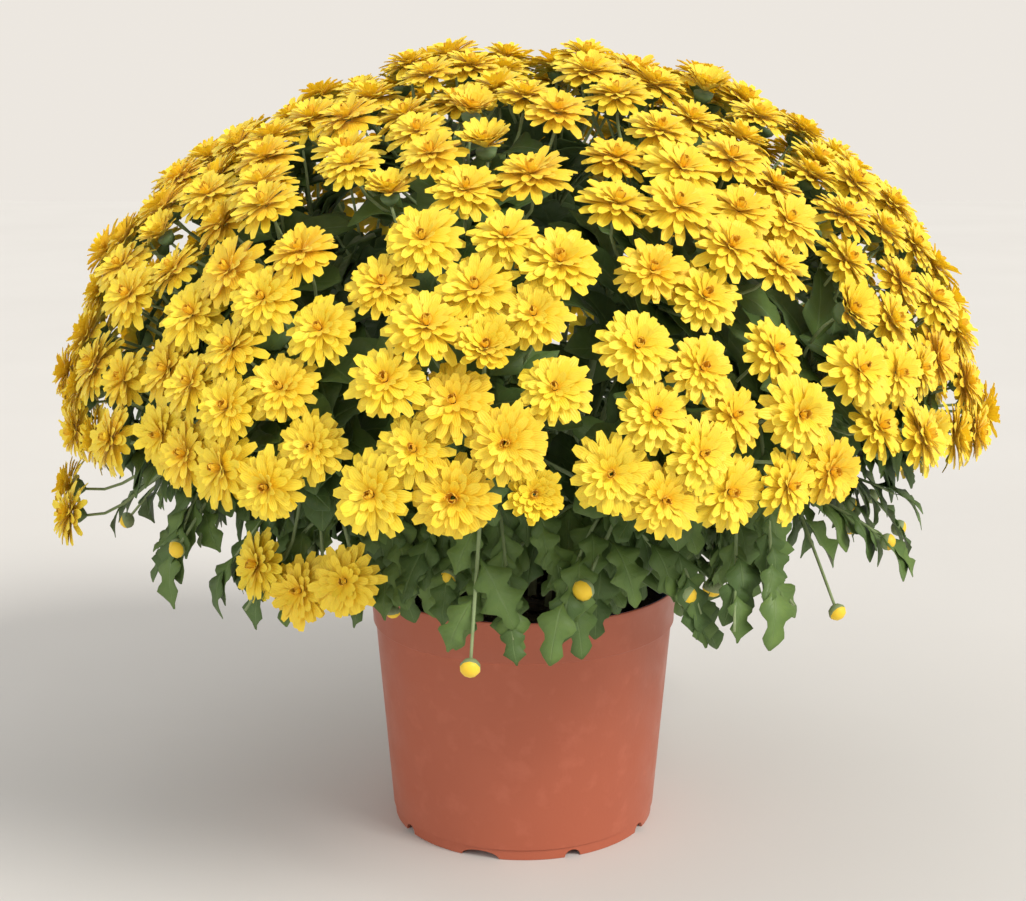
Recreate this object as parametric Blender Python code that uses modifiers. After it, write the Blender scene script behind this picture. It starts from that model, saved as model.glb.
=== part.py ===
# Pot chrysanthemum: a dome of small double yellow blooms on leafy stems in a plastic growing pot.
# Metres, +Z up. The origin is on the pot's axis, on the surface that the pot stands on, and the
# front of the plant faces -Y.

import math
import random

import bmesh
import bpy
import numpy as np
from mathutils import Matrix, Vector, noise

# Touching pieces keep this gap, and growth that comes close to other growth keeps the wider one.
GAP = 0.0003
CLEARANCE = 0.0006

# The pot, a 21 cm growing pot.
POT_RIM_RADIUS = 0.105
POT_HEIGHT = 0.167
POT_WALL = 0.0016
POT_SEGMENTS = 28
BAND_HEIGHT = 0.0283
BAND_FOOT_RADIUS = 0.1021
BAND_LEDGE = 0.0014
BODY_FOOT_RADIUS = 0.0904
FOOT_HEIGHT = 0.0077
FOOT_TOP_RADIUS = 0.0882
FOOT_RADIUS = 0.0895
FOOT_THICKNESS = 0.0026
FLOOR_HEIGHT = 0.0061
NOTCH_COUNT = 9
NOTCH_WIDTH = 0.011
WIDE_NOTCH_WIDTH = 0.026
NOTCH_HEIGHT = 0.0050
WIDE_NOTCH_ANGLE = math.radians(251)
DRAIN_COUNT = 4
DRAIN_RADIUS = 0.0045
DRAIN_RING_RADIUS = 0.058

# The potting mix that fills the pot.
SOIL_TOP = 0.149
HOLE_DEPTH = 0.026
HOLE_SIDES = 4

# The dome that the blooms lie on, and the crown that the shoots spread from.
DOME_CENTRE_Z = 0.288
DOME_RADIUS = 0.289
DOME_RISE = 0.219
DOME_DROP = 0.150
DOME_LOWEST_ANGLE = math.radians(94)
EDGE_WAVE = math.radians(7)
EDGE_WAVES_ROUND = 4
SWELL = 0.008
SWELL_SCALE = 10.0
CROWN = Vector((0.0, 0.0, 0.200))
CORE_RADIUS = 0.100

# The blooms, drawn together in one cluster a shoot.
SEED = 7
BLOOM_COUNT = 336
SHOOT_COUNT = 25
BLOOM_RADIUS = 0.0190
BLOOM_SPREAD = (0.88, 1.08)
BLOOM_PETALS = 5
INNER_PETAL_REACH = 0.76
OUTER_PETAL_RISE = -0.12
INNER_PETAL_RISE = 0.20
HEART_RISE = 0.40
CALYX_DEPTH = 0.42
BLOOM_TILT = math.radians(11)
BLOOM_LIFT = 0.006
EVEN_SPACING = 0.056
CLUMP_SCALE = 24.0
CLUMP_SHIFT = 0.013
CLOSEST_SPACING = 0.034
CLUSTER_PULL = 0.90
NECK_WIDTH = 0.0022
NECK_RISE = 0.0010
GOLDEN_ANGLE = math.pi * (3 - math.sqrt(5))

# Stray blooms that hang out below the dome: azimuth, distance from the axis, height, how many.
STRAYS = [
    (math.radians(194), 0.294, 0.243, 2),
    (math.radians(239), 0.240, 0.230, 3),
    (math.radians(18), 0.292, 0.240, 2),
    (math.radians(118), 0.258, 0.233, 3),
]
STRAY_STEP = 0.030
STRAY_RADIUS = 0.0185

# The shoots: a stem, a stalk for each bloom, lobed leaves and buds.
STEM_RADIUS = 0.0031
STEM_MIDDLE_RADIUS = 0.0026
STEM_TOP_RADIUS = 0.0022
FORK_RADII = (0.0036, 0.0034, 0.0020)
STEM_SIDES = 3
STEM_CIRCLE_RADIUS = 0.080
HUB_DEPTH = 0.078
FORK_STEP = 0.005
FORK_STRAIGHTNESS = 100.0
LEAF_LENGTH = 0.052
LEAF_WIDTH_SHARE = 0.66
LEAF_THICKNESS = 0.0017
LEAF_SHELL_DEPTH = 0.030
LEAF_MARGIN = 0.0012
LEAF_SPACING = 0.008
LEAF_ATTEMPTS = 30
UPPER_LEAVES = 1
UPPER_LEAF_SHARE = 0.4
SKIRT_LEAVES = 8
SKIRT_REACH = 1.6
SKIRT_HANG = 1.0
SKIRT_ANGLE = math.radians(58)
STEEPEST_SHOOT = math.radians(80)
STEM_LEAN = 0.012
BOW_SHARES = (0.35, 0.70)
STEM_REACH = 0.075
STALK_GAP = 0.0006
POT_CLEARANCE = 0.003
BUD_RADIUS = 0.0055
BUD_ROOM = 0.030
BUDS_EACH = 1
BUD_ATTEMPTS = 60
BUD_HEIGHTS = (0.195, 0.240)
BUD_REACHES = (0.23, 0.275)
SIDE_LEAF_SHARES = (0.40, 0.58, 0.76)
SIDE_LEAF_LENGTH = 0.038
SIDE_LEAF_TURNS = (0.6, 1.3)
LOWEST_BLOOM_Z = 0.240
LEAF_ROOM = 0.0225


def material(name, colour, roughness):
    """A plain finish for one kind of piece."""
    finish = bpy.data.materials.new(name)
    finish.use_nodes = True
    shader = finish.node_tree.nodes["Principled BSDF"]
    shader.inputs["Base Color"].default_value = (*colour, 1.0)
    shader.inputs["Roughness"].default_value = roughness
    shader.inputs["Metallic"].default_value = 0.0
    return finish


def new_object(name, mesh, collection, finish=None):
    """An object in a collection, with its finish."""
    piece = bpy.data.objects.new(name, mesh)
    collection.objects.link(piece)
    if finish:
        mesh.materials.append(finish)
    return piece


def object_from_bmesh(name, bm, collection, finish=None):
    """Closes the bmesh into an object, with its faces turned outwards."""
    bmesh.ops.recalc_face_normals(bm, faces=bm.faces)
    mesh = bpy.data.meshes.new(name)
    bm.to_mesh(mesh)
    bm.free()
    return new_object(name, mesh, collection, finish)


def apply_modifiers(piece):
    """Replaces the object's mesh by what its modifiers make of it."""
    depsgraph = bpy.context.evaluated_depsgraph_get()
    result = bpy.data.meshes.new_from_object(piece.evaluated_get(depsgraph))
    piece.modifiers.clear()
    piece.data = result


def join_all(piece, others):
    """One Boolean union of the object with every object of a collection, which is then emptied.

    Growth that crosses within one operand, such as two stalks, is fused as well.
    """
    union = piece.modifiers.new("Union", "BOOLEAN")
    union.operation = "UNION"
    union.operand_type = "COLLECTION"
    union.collection = others
    union.solver = "EXACT"
    union.use_self = True
    apply_modifiers(piece)
    for other in list(others.objects):
        bpy.data.objects.remove(other)


def cut(piece, cutters):
    """One Boolean cut of the object by every cutter of a collection, which is then emptied."""
    difference = piece.modifiers.new("Cut", "BOOLEAN")
    difference.operation = "DIFFERENCE"
    difference.operand_type = "COLLECTION"
    difference.collection = cutters
    apply_modifiers(piece)
    for cutter in list(cutters.objects):
        bpy.data.objects.remove(cutter)


def loft(bm, sections):
    """A closed surface through rings of equal length, whose first and last may be single points."""
    rings = [[bm.verts.new(point) for point in section] for section in sections]
    strips = []
    for lower, upper in zip(rings, rings[1:]):
        sides = max(len(lower), len(upper))
        strip = []
        for i in range(sides):
            j = (i + 1) % sides
            if len(lower) == 1:
                corners = (lower[0], upper[j], upper[i])
            elif len(upper) == 1:
                corners = (lower[i], lower[j], upper[0])
            else:
                corners = (lower[i], lower[j], upper[j], upper[i])
            strip.append(bm.faces.new(corners))
        strips.append(strip)
    for ring in (rings[0], rings[-1]):
        if len(ring) > 2:
            bm.faces.new(ring)
    return strips


def square_across(direction, side):
    """Two unit vectors across a direction, the first as near to side as it can be."""
    first = (side - side.project(direction)).normalized()
    return first, direction.cross(first).normalized()


def smooth_path(points, fraction):
    """A point on the Bezier curve of the given control points."""
    points = [Vector(point) for point in points]
    while len(points) > 1:
        points = [a.lerp(b, fraction) for a, b in zip(points, points[1:])]
    return points[0]


def body_radius(height):
    """The pot's outer radius at a height below its rim band."""
    top = POT_HEIGHT - BAND_HEIGHT
    share = (height - FOOT_HEIGHT) / (top - FOOT_HEIGHT)
    return BODY_FOOT_RADIUS + share * (BAND_FOOT_RADIUS - BAND_LEDGE - BODY_FOOT_RADIUS)


def make_pot(collection, cutters, finish):
    """The turned pot: floor, tapered side, rim band, and a notched foot ring."""
    band_z = POT_HEIGHT - BAND_HEIGHT
    floor_z = FLOOR_HEIGHT + POT_WALL
    profile = [
        (0.0, floor_z),
        (body_radius(floor_z) - POT_WALL, floor_z),
        (body_radius(band_z) - POT_WALL, band_z),
        (BAND_FOOT_RADIUS - POT_WALL, band_z + POT_WALL),
        (POT_RIM_RADIUS - POT_WALL, POT_HEIGHT),
        (POT_RIM_RADIUS, POT_HEIGHT),
        (BAND_FOOT_RADIUS, band_z),
        (body_radius(band_z), band_z),
        (BODY_FOOT_RADIUS, FOOT_HEIGHT),
        (FOOT_RADIUS, 0.0),
        (FOOT_RADIUS - FOOT_THICKNESS, 0.0),
        (FOOT_TOP_RADIUS - FOOT_THICKNESS, FLOOR_HEIGHT),
        (0.0, FLOOR_HEIGHT),
    ]
    mesh = bpy.data.meshes.new("pot")
    mesh.from_pydata([(r, 0.0, z) for r, z in profile], [(i, i + 1) for i in range(len(profile) - 1)], [])
    pot = new_object("pot", mesh, collection, finish)
    turn = pot.modifiers.new("Turn", "SCREW")
    turn.steps = POT_SEGMENTS
    turn.render_steps = POT_SEGMENTS
    turn.use_merge_vertices = True
    turn.merge_threshold = 0.00001
    apply_modifiers(pot)

    for index in range(NOTCH_COUNT):
        width = WIDE_NOTCH_WIDTH if index == 0 else NOTCH_WIDTH
        angle = WIDE_NOTCH_ANGLE + index * math.tau / NOTCH_COUNT
        bm = bmesh.new()
        bmesh.ops.create_cube(bm, size=1.0)
        bmesh.ops.scale(bm, vec=(0.02, width, 2 * NOTCH_HEIGHT), verts=bm.verts)
        bmesh.ops.translate(bm, vec=(FOOT_RADIUS - FOOT_THICKNESS, 0.0, 0.0), verts=bm.verts)
        bmesh.ops.rotate(bm, cent=(0, 0, 0), matrix=Matrix.Rotation(angle, 3, "Z"), verts=bm.verts)
        object_from_bmesh(f"notch_cutter_{index}", bm, cutters)
    for index in range(DRAIN_COUNT):
        angle = index * math.tau / DRAIN_COUNT
        bm = bmesh.new()
        bmesh.ops.create_cone(
            bm, cap_ends=True, segments=6, radius1=DRAIN_RADIUS, radius2=DRAIN_RADIUS, depth=4 * POT_WALL
        )
        place = (DRAIN_RING_RADIUS * math.cos(angle), DRAIN_RING_RADIUS * math.sin(angle), FLOOR_HEIGHT)
        bmesh.ops.translate(bm, vec=place, verts=bm.verts)
        object_from_bmesh(f"drain_cutter_{index}", bm, cutters)
    cut(pot, cutters)
    return pot


def make_potting_mix(shoots, collection, cutters, finish):
    """The filled inside of the pot, with a plain hole for each stem."""
    bottom = FLOOR_HEIGHT + POT_WALL + GAP
    band_z = POT_HEIGHT - BAND_HEIGHT
    inset = POT_WALL + 2 * GAP
    bm = bmesh.new()
    bmesh.ops.create_cone(
        bm,
        cap_ends=True,
        segments=POT_SEGMENTS,
        radius1=body_radius(bottom) - inset,
        radius2=body_radius(band_z) - inset,
        depth=SOIL_TOP - bottom,
    )
    bmesh.ops.translate(bm, vec=(0, 0, (SOIL_TOP + bottom) / 2), verts=bm.verts)
    # The pot's segments are a multiple of four, so that this ring of corners lines up with the pot's.
    soil = object_from_bmesh("potting_mix", bm, collection, finish)
    radius = (STEM_RADIUS + CLEARANCE) / math.cos(math.pi / HOLE_SIDES)
    for index, shoot in enumerate(shoots):
        bm = bmesh.new()
        bmesh.ops.create_cone(
            bm, cap_ends=True, segments=HOLE_SIDES, radius1=radius, radius2=radius, depth=2 * HOLE_DEPTH
        )
        bmesh.ops.translate(bm, vec=(shoot["hole"].x, shoot["hole"].y, SOIL_TOP), verts=bm.verts)
        object_from_bmesh(f"hole_cutter_{index}", bm, cutters)
    cut(soil, cutters)
    return soil


def dome_point(direction):
    """The point of the dome in a unit direction from its centre."""
    rise = DOME_RISE if direction.z > 0 else DOME_DROP
    return Vector((DOME_RADIUS * direction.x, DOME_RADIUS * direction.y, DOME_CENTRE_Z + rise * direction.z))


def dome_normal(point):
    """The outward direction of the dome at one of its points."""
    rise = DOME_RISE if point.z > DOME_CENTRE_Z else 2 * DOME_DROP
    offset = (point.z - DOME_CENTRE_Z) / rise**2
    return Vector((point.x / DOME_RADIUS**2, point.y / DOME_RADIUS**2, offset)).normalized()


def spread_directions(count, turn):
    """Unit directions spread evenly over the dome, from its top to its lower edge."""
    directions = []
    for i in range(count):
        z = 1 - (i + 0.5) / count * (1 - math.cos(DOME_LOWEST_ANGLE))
        across = math.sqrt(1 - z * z)
        angle = turn + i * GOLDEN_ANGLE
        directions.append(Vector((across * math.cos(angle), across * math.sin(angle), z)))
    return directions


def relax(points, rounds, reach):
    """Pushes points on the dome apart, those nearer than the reach, and keeps them above its edge."""
    scale = np.array([DOME_RADIUS, DOME_RADIUS, DOME_RISE])
    centre = np.array([0.0, 0.0, DOME_CENTRE_Z])
    places = np.array([list(point) for point in points])
    for _ in range(rounds):
        offsets = places[:, None] - places[None]
        gaps = np.linalg.norm(offsets, axis=2) + np.eye(len(places))
        push = np.clip(1 - gaps / reach, 0, None) * (1 - np.eye(len(places)))
        places = places + (offsets / gaps[..., None] * push[..., None]).sum(axis=1) * reach * 0.25
        unit = (places - centre) / scale
        unit /= np.linalg.norm(unit, axis=1)[:, None]
        wave = EDGE_WAVE * np.cos(EDGE_WAVES_ROUND * np.arctan2(unit[:, 1], unit[:, 0]))
        unit[:, 2] = np.maximum(unit[:, 2], np.cos(DOME_LOWEST_ANGLE + wave))
        places = np.array([list(dome_point(Vector(u).normalized())) for u in unit])
    return [Vector(place) for place in places]


def drift(place):
    """A smooth and steady wander, the same for the same place."""
    return Vector(noise.noise(place + Vector((0, 0, 31.7 * step))) for step in (1, 2, 3))


def plan_blooms(draw):
    """Every bloom: its centre, the way it faces, its radius and the cluster it belongs to."""
    start = [dome_point(direction) for direction in spread_directions(BLOOM_COUNT, 0.0)]
    start = [point + Vector(draw.gauss(0, 0.006) for _ in range(3)) for point in start]
    points = relax(start, 24, EVEN_SPACING)
    points = [point + drift(point * CLUMP_SCALE) * CLUMP_SHIFT for point in points]
    points = relax(points, 8, CLOSEST_SPACING)

    anchors = [
        (dome_point(direction) - CROWN).normalized() for direction in spread_directions(SHOOT_COUNT, 1.0)
    ]
    for _ in range(10):
        ways = [(p - CROWN).normalized() for p in points]
        homes = [max(range(SHOOT_COUNT), key=lambda i: anchors[i].dot(way)) for way in ways]
        for i in range(SHOOT_COUNT):
            members = [way for way, home in zip(ways, homes) if home == i]
            anchors[i] = sum(members, Vector()).normalized()

    blooms = []
    for point, home in zip(points, homes):
        middle = sum((p for p, other in zip(points, homes) if other == home), Vector()) / homes.count(home)
        drawn = middle.lerp(point, CLUSTER_PULL) - Vector((0, 0, DOME_CENTRE_Z))
        rise = DOME_RISE if drawn.z > 0 else DOME_DROP
        unit = Vector((drawn.x / DOME_RADIUS, drawn.y / DOME_RADIUS, drawn.z / rise)).normalized()
        centre = dome_point(unit)
        normal = dome_normal(centre)
        wobble = Vector(draw.uniform(-1, 1) for _ in range(3)) * math.tan(BLOOM_TILT)
        lift = draw.uniform(-BLOOM_LIFT, BLOOM_LIFT) + SWELL * noise.noise(centre * SWELL_SCALE)
        blooms.append(
            {
                "centre": centre + normal * lift,
                "normal": (normal + wobble + Vector((0, 0, 0.15))).normalized(),
                "radius": BLOOM_RADIUS * draw.uniform(*BLOOM_SPREAD),
                "cluster": home,
            }
        )
    for index, (azimuth, reach, height, count) in enumerate(STRAYS):
        outward = Vector((math.cos(azimuth), math.sin(azimuth), 0.0))
        along = Vector((-outward.y, outward.x, 0.0))
        for k in range(count):
            step = k - (count - 1) / 2
            rise = STRAY_STEP * (0.35 if k % 2 else 0.0)
            blooms.append(
                {
                    "centre": outward * reach + along * step * STRAY_STEP + Vector((0, 0, height - rise)),
                    "normal": (outward + along * step * 0.3 + Vector((0, 0, 0.25))).normalized(),
                    "radius": STRAY_RADIUS,
                    "cluster": SHOOT_COUNT + index,
                }
            )
    return blooms, anchors


def side_limit(bloom, other):
    """How far the bloom may reach towards a neighbour, with the direction to it."""
    offset = other["centre"] - bloom["centre"]
    distance = offset.length
    share = bloom["radius"] / (bloom["radius"] + other["radius"])
    return offset / distance, distance * share - CLEARANCE / 2


def neighbours_of(blooms):
    """For each bloom, the blooms near enough to touch it."""
    near = []
    for i, bloom in enumerate(blooms):
        near.append(
            [
                j
                for j, other in enumerate(blooms)
                if j != i and (other["centre"] - bloom["centre"]).length < 3.2 * BLOOM_RADIUS
            ]
        )
    return near


def meeting_point(bloom, other):
    """Where one petal of each of two neighbours meet, with the directions along, up and left."""
    along, reach = side_limit(bloom, other)
    up = (bloom["normal"] + other["normal"]).normalized()
    left = up.cross(along).normalized()
    up = along.cross(left)
    place = bloom["centre"] + along * (reach + CLEARANCE / 2) + up * OUTER_PETAL_RISE * bloom["radius"]
    return place, up, left


def petals_can_meet(blooms, near, i, j):
    """Whether two blooms can reach each other without passing another bloom's share."""
    place = meeting_point(blooms[i], blooms[j])[0]
    for one, two in ((i, j), (j, i)):
        for k in near[one]:
            if k != two:
                way, limit = side_limit(blooms[one], blooms[k])
                if (place - blooms[one]["centre"]).dot(way) > limit - NECK_WIDTH:
                    return False
    return True


def link_clusters(blooms, near):
    """Joins the blooms of each cluster in a tree, in which neighbours touch by one petal each."""
    for bloom in blooms:
        bloom["links"] = []
    for cluster in sorted({bloom["cluster"] for bloom in blooms}):
        members = [i for i, bloom in enumerate(blooms) if bloom["cluster"] == cluster]
        pairs = [
            ((blooms[j]["centre"] - blooms[i]["centre"]).length, i, j)
            for i in members
            for j in members
            if i < j and petals_can_meet(blooms, near, i, j)
        ]
        group = {i: i for i in members}
        for _, i, j in sorted(pairs):
            if group[i] != group[j]:
                blooms[i]["links"].append(j)
                blooms[j]["links"].append(i)
                old = group[j]
                group = {k: group[i] if home == old else home for k, home in group.items()}
        if len(set(group.values())) > 1:
            raise ValueError(f"cluster {cluster} holds a bloom with no neighbour to touch")


def petal_angles(link_angles):
    """The outer petals' angles: one petal towards each link, and the rest spread between them."""
    even = math.tau / BLOOM_PETALS
    angles = []
    ordered = sorted(link_angles)
    for k, angle in enumerate(ordered):
        gap = (ordered[(k + 1) % len(ordered)] - angle) % math.tau or math.tau
        parts = max(1, round(gap / even))
        angles += [angle + gap * part / parts for part in range(parts)]
    return angles


def bloom_corners(bm, index, blooms, near):
    """The corners of one bloom: its heart and calyx, and round them a ring of petal tips."""
    bloom = blooms[index]
    centre, normal, radius = bloom["centre"], bloom["normal"], bloom["radius"]
    first, second = square_across(normal, Vector((0.3, 0.2, 1.0)))
    limits = [side_limit(bloom, blooms[k]) for k in near[index]]

    def held_back(offset):
        """The offset, drawn in where it would reach past a neighbour's share."""
        share = 1.0
        for way, limit in limits:
            reach = offset.dot(way)
            if reach > limit:
                share = min(share, limit / reach)
        return bm.verts.new(centre + offset * share)

    turned_to = {}
    for other in bloom["links"]:
        toward = blooms[other]["centre"] - centre
        turned_to[math.atan2(toward.dot(second), toward.dot(first)) % math.tau] = other
    outer = petal_angles(turned_to)
    ring = []
    for k, angle in enumerate(outer):
        following = outer[(k + 1) % len(outer)]
        middle = angle + ((following - angle) % math.tau or math.tau) / 2
        flat = (first * math.cos(angle) + second * math.sin(angle)) * radius
        inner = (first * math.cos(middle) + second * math.sin(middle)) * radius * INNER_PETAL_REACH
        link = turned_to.get(angle)
        tip = None if link is not None else held_back(flat + normal * OUTER_PETAL_RISE * radius)
        ring.append((tip, link))
        ring.append((held_back(inner + normal * INNER_PETAL_RISE * radius), None))
    return {
        "ring": ring,
        "heart": held_back(normal * HEART_RISE * radius),
        "calyx": held_back(-normal * CALYX_DEPTH * radius),
    }


def close_strip(bm, lower, upper):
    """Faces between two rings of the same number of corners."""
    count = len(lower)
    for i in range(count):
        j = (i + 1) % count
        bm.faces.new((lower[i], lower[j], upper[j], upper[i]))


def make_clusters(blooms, near, collection, finish):
    """A node for each cluster: blooms with low outer and raised inner petals, joined where tips touch."""
    for cluster in sorted({bloom["cluster"] for bloom in blooms}):
        members = [i for i, bloom in enumerate(blooms) if bloom["cluster"] == cluster]
        bm = bmesh.new()
        corners = {i: bloom_corners(bm, i, blooms, near) for i in members}
        open_sides = {}
        for i in members:
            ring, heart, calyx = corners[i]["ring"], corners[i]["heart"], corners[i]["calyx"]
            for k, (tip, link) in enumerate(ring):
                following = ring[(k + 1) % len(ring)][0]
                if link is not None:
                    open_sides[i, link] = (heart, following, calyx, ring[k - 1][0])
                elif tip and following:
                    bm.faces.new((heart, tip, following))
                    bm.faces.new((calyx, following, tip))
        for (i, j), side in open_sides.items():
            if i < j:
                place, up, left = meeting_point(blooms[i], blooms[j])
                neck = [
                    bm.verts.new(place + offset)
                    for offset in (up * NECK_RISE, left * NECK_WIDTH, -up * NECK_RISE, -left * NECK_WIDTH)
                ]
                heart, following, calyx, behind = open_sides[j, i]
                close_strip(bm, side, neck)
                close_strip(bm, neck, (heart, behind, calyx, following))
        if cluster < SHOOT_COUNT:
            name = f"blooms_{cluster + 1:02d}"
        else:
            name = f"stray_blooms_{cluster - SHOOT_COUNT + 1}"
        object_from_bmesh(name, bm, collection, finish)


def plan_shoots(blooms, anchors):
    """Every shoot: the hole that its stem stands in, its path, and the blooms that it carries."""
    shoots = []
    for index, anchor in enumerate(anchors):
        own = [i for i, bloom in enumerate(blooms) if bloom["cluster"] == index]
        root = max(own, key=lambda i: anchor.dot((blooms[i]["centre"] - CROWN).normalized()))
        polar = anchor.angle(Vector((0, 0, 1)))
        azimuth = math.atan2(anchor.y, anchor.x)
        outward = Vector((math.cos(azimuth), math.sin(azimuth), 0.0))
        hole = outward * STEM_CIRCLE_RADIUS * min(1.0, polar / STEEPEST_SHOOT)
        top = stalk_end(blooms[root])
        hub = CROWN + anchor * ((top - CROWN).length - HUB_DEPTH)
        foot = Vector((hole.x, hole.y, SOIL_TOP))
        bend = foot + outward * STEM_LEAN * polar + Vector((0, 0, STEM_REACH))
        shoots.append(
            {
                "anchor": anchor,
                "polar": polar,
                "outward": outward,
                "side": Vector((-outward.y, outward.x, 0.0)),
                "hole": hole,
                "foot": foot,
                "curve": [foot, bend, hub.lerp(bend, 0.15), hub],
                "hub": hub,
                "top": top,
                "blooms": [i for i in own if i != root],
            }
        )
    for i, bloom in enumerate(blooms):
        if bloom["cluster"] >= SHOOT_COUNT:
            way = (bloom["centre"] - CROWN).normalized()
            carrier = max(shoots, key=lambda shoot: shoot["anchor"].dot(way))
            carrier["blooms"].append(i)
    return shoots


def stalk_end(bloom):
    """The point just under a bloom where its stalk ends."""
    return bloom["centre"] - bloom["normal"] * (CALYX_DEPTH * bloom["radius"] + STALK_GAP)


def stem_top(shoot):
    """The point where the stem proper ends, just under its fork."""
    return shoot["hub"] - (shoot["top"] - shoot["hub"]).normalized() * FORK_STEP * 2.5


def along_stem(shoot, share):
    """A point on the stem's own line, from just above the mix at 0 to under the fork at 1."""
    bows = [smooth_path(shoot["curve"], bow) for bow in BOW_SHARES]
    places = [shoot["foot"].lerp(bows[0], 0.6), *bows, stem_top(shoot)]
    step = min(int(share * 3), 2)
    return places[step].lerp(places[step + 1], share * 3 - step)


def leaf_root(shoot, share):
    """A point that a leaf grows from: on the stem up to a share of 0.97, beyond 1 on the middle stalk."""
    if share < 1:
        return along_stem(shoot, min(share, 0.97))
    return shoot["hub"].lerp(shoot["top"], share - 1)


def stem_rings(shoot, fork_sides):
    """Rings of points up the stem: root end, bow, and the wider fork that the stalks grow from."""
    along = (shoot["top"] - shoot["hub"]).normalized()
    fork = [shoot["hub"] + along * FORK_STEP * step for step in (-1, 0, 1)]
    places = [
        shoot["foot"] - Vector((0, 0, HOLE_DEPTH - CLEARANCE)),
        shoot["foot"],
        smooth_path(shoot["curve"], BOW_SHARES[0]),
        smooth_path(shoot["curve"], BOW_SHARES[1]),
        stem_top(shoot),
    ]
    radii = [STEM_RADIUS, STEM_RADIUS, STEM_MIDDLE_RADIUS, STEM_MIDDLE_RADIUS, STEM_TOP_RADIUS]
    rings = []
    for k, (place, radius) in enumerate(zip(places, radii)):
        behind = places[max(k - 1, 0)]
        ahead = places[k + 1] if k + 1 < len(places) else shoot["hub"]
        rings.append(ring_round(place, (ahead - behind).normalized(), shoot["side"], radius, STEM_SIDES))
    for place, radius in zip(fork, FORK_RADII):
        rings.append(ring_round(place, along, shoot["side"], radius, fork_sides))
    return rings


def ring_round(place, direction, side, radius, count):
    """Points round a direction, the first of them towards the given side."""
    first, second = square_across(direction, side)
    turns = [k * math.tau / count for k in range(count)]
    return [place + (first * math.cos(turn) + second * math.sin(turn)) * radius for turn in turns]


def zip_strip(bm, lower, upper):
    """Triangles between two rings whose numbers of corners differ."""
    i = j = 0
    while i < len(lower) or j < len(upper):
        if j == len(upper) or (i + 1) * len(upper) <= (j + 1) * len(lower):
            bm.faces.new((lower[i % len(lower)], lower[(i + 1) % len(lower)], upper[j % len(upper)]))
            i += 1
        else:
            bm.faces.new((lower[i % len(lower)], upper[(j + 1) % len(upper)], upper[j % len(upper)]))
            j += 1


def pair_up(faces, ends):
    """Pairs every stalk's end with a face of the fork so that the stalks leave as straight as they can."""
    def misfit(slot, end):
        if slot is None or end is None:
            return 0.0
        way = end - slot.calc_center_median()
        return way.length * FORK_STRAIGHTNESS - slot.normal.dot(way.normalized())

    ends = list(ends) + [None] * (len(faces) - len(ends))
    improved = True
    while improved:
        improved = False
        for i in range(len(faces)):
            for j in range(i):
                now = misfit(faces[i], ends[i]) + misfit(faces[j], ends[j])
                swapped = misfit(faces[i], ends[j]) + misfit(faces[j], ends[i])
                if swapped < now - 1e-9:
                    ends[i], ends[j] = ends[j], ends[i]
                    improved = True
    return [(face, end) for face, end in zip(faces, ends) if end]


def stem_bmesh(shoot, blooms):
    """The stem in one surface with its stalks, each drawn out of a face of the fork to a bloom."""
    axis = (shoot["top"] - shoot["hub"]).normalized()
    ends = [stalk_end(blooms[i]) for i in shoot["blooms"]]
    ends.sort(key=lambda end: -(end - shoot["hub"]).angle(axis))
    sides = max(STEM_SIDES, math.ceil(len(ends) / 2))
    bm = bmesh.new()
    rings = [[bm.verts.new(point) for point in ring] for ring in stem_rings(shoot, sides)]
    bm.faces.new(rings[0])
    for lower, upper in zip(rings[:5], rings[1:5]):
        close_strip(bm, lower, upper)
    zip_strip(bm, rings[4], rings[5])
    below = set(bm.faces)
    for lower, upper in zip(rings[5:], rings[6:]):
        close_strip(bm, lower, upper)
    fork = [face for face in bm.faces if face not in below]
    cap = bm.faces.new(rings[-1])
    bmesh.ops.recalc_face_normals(bm, faces=bm.faces)
    for face, end in pair_up(fork, ends) + [(cap, shoot["top"])]:
        bmesh.ops.poke(bm, faces=[face])["verts"][0].co = end
    return bm


def leaf_sections(base, direction, up, length, width, droop):
    """The rings of a lobed leaf: its wedge-shaped foot, two pairs of forward-swept lobes and its tip."""
    side = direction.cross(up).normalized()
    up = side.cross(direction).normalized()
    # Along the leaf, half its width, how far the lobes sweep forward.
    outline = [(0.44, 0.50, 0.06), (0.57, 0.20, 0.0), (0.78, 0.40, 0.05)]
    sections = [[base]]
    for along, half, sweep in outline:
        rib = base + direction * along * length + up * droop * length * (0.25 - (along - 0.3) ** 2 * 1.2)
        forward = direction * sweep * length
        spread = side * half * width
        lift = forward + up * half * 0.1 * width
        sections.append([rib + spread + lift, rib - up * LEAF_THICKNESS, rib - spread + lift])
    sections.append([base + direction * length - up * droop * length * 0.35])
    return sections


def clear_of_blooms(points, blooms):
    """Whether every point keeps off the blooms."""
    return all((bloom["centre"] - point).length > LEAF_ROOM for bloom in blooms for point in points)


def keeps_to_its_place(points, shoot, shoots, shell_depth):
    """Whether growth keeps to its shoot's own share of the dome, off the pot and under the blooms."""
    for point in points:
        arm = point - CROWN
        if arm.length < CORE_RADIUS:
            return False
        for other in shoots:
            if other is shoot:
                continue
            wall = (other["anchor"] - shoot["anchor"]).normalized()
            if arm.dot(wall) > -LEAF_MARGIN:
                return False
        reach = math.hypot(point.x, point.y)
        if point.z < POT_HEIGHT + POT_CLEARANCE and reach < POT_RIM_RADIUS + POT_CLEARANCE:
            return False
        if point.z > LOWEST_BLOOM_Z and depth_in_dome(point) < shell_depth:
            return False
    return True


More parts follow.
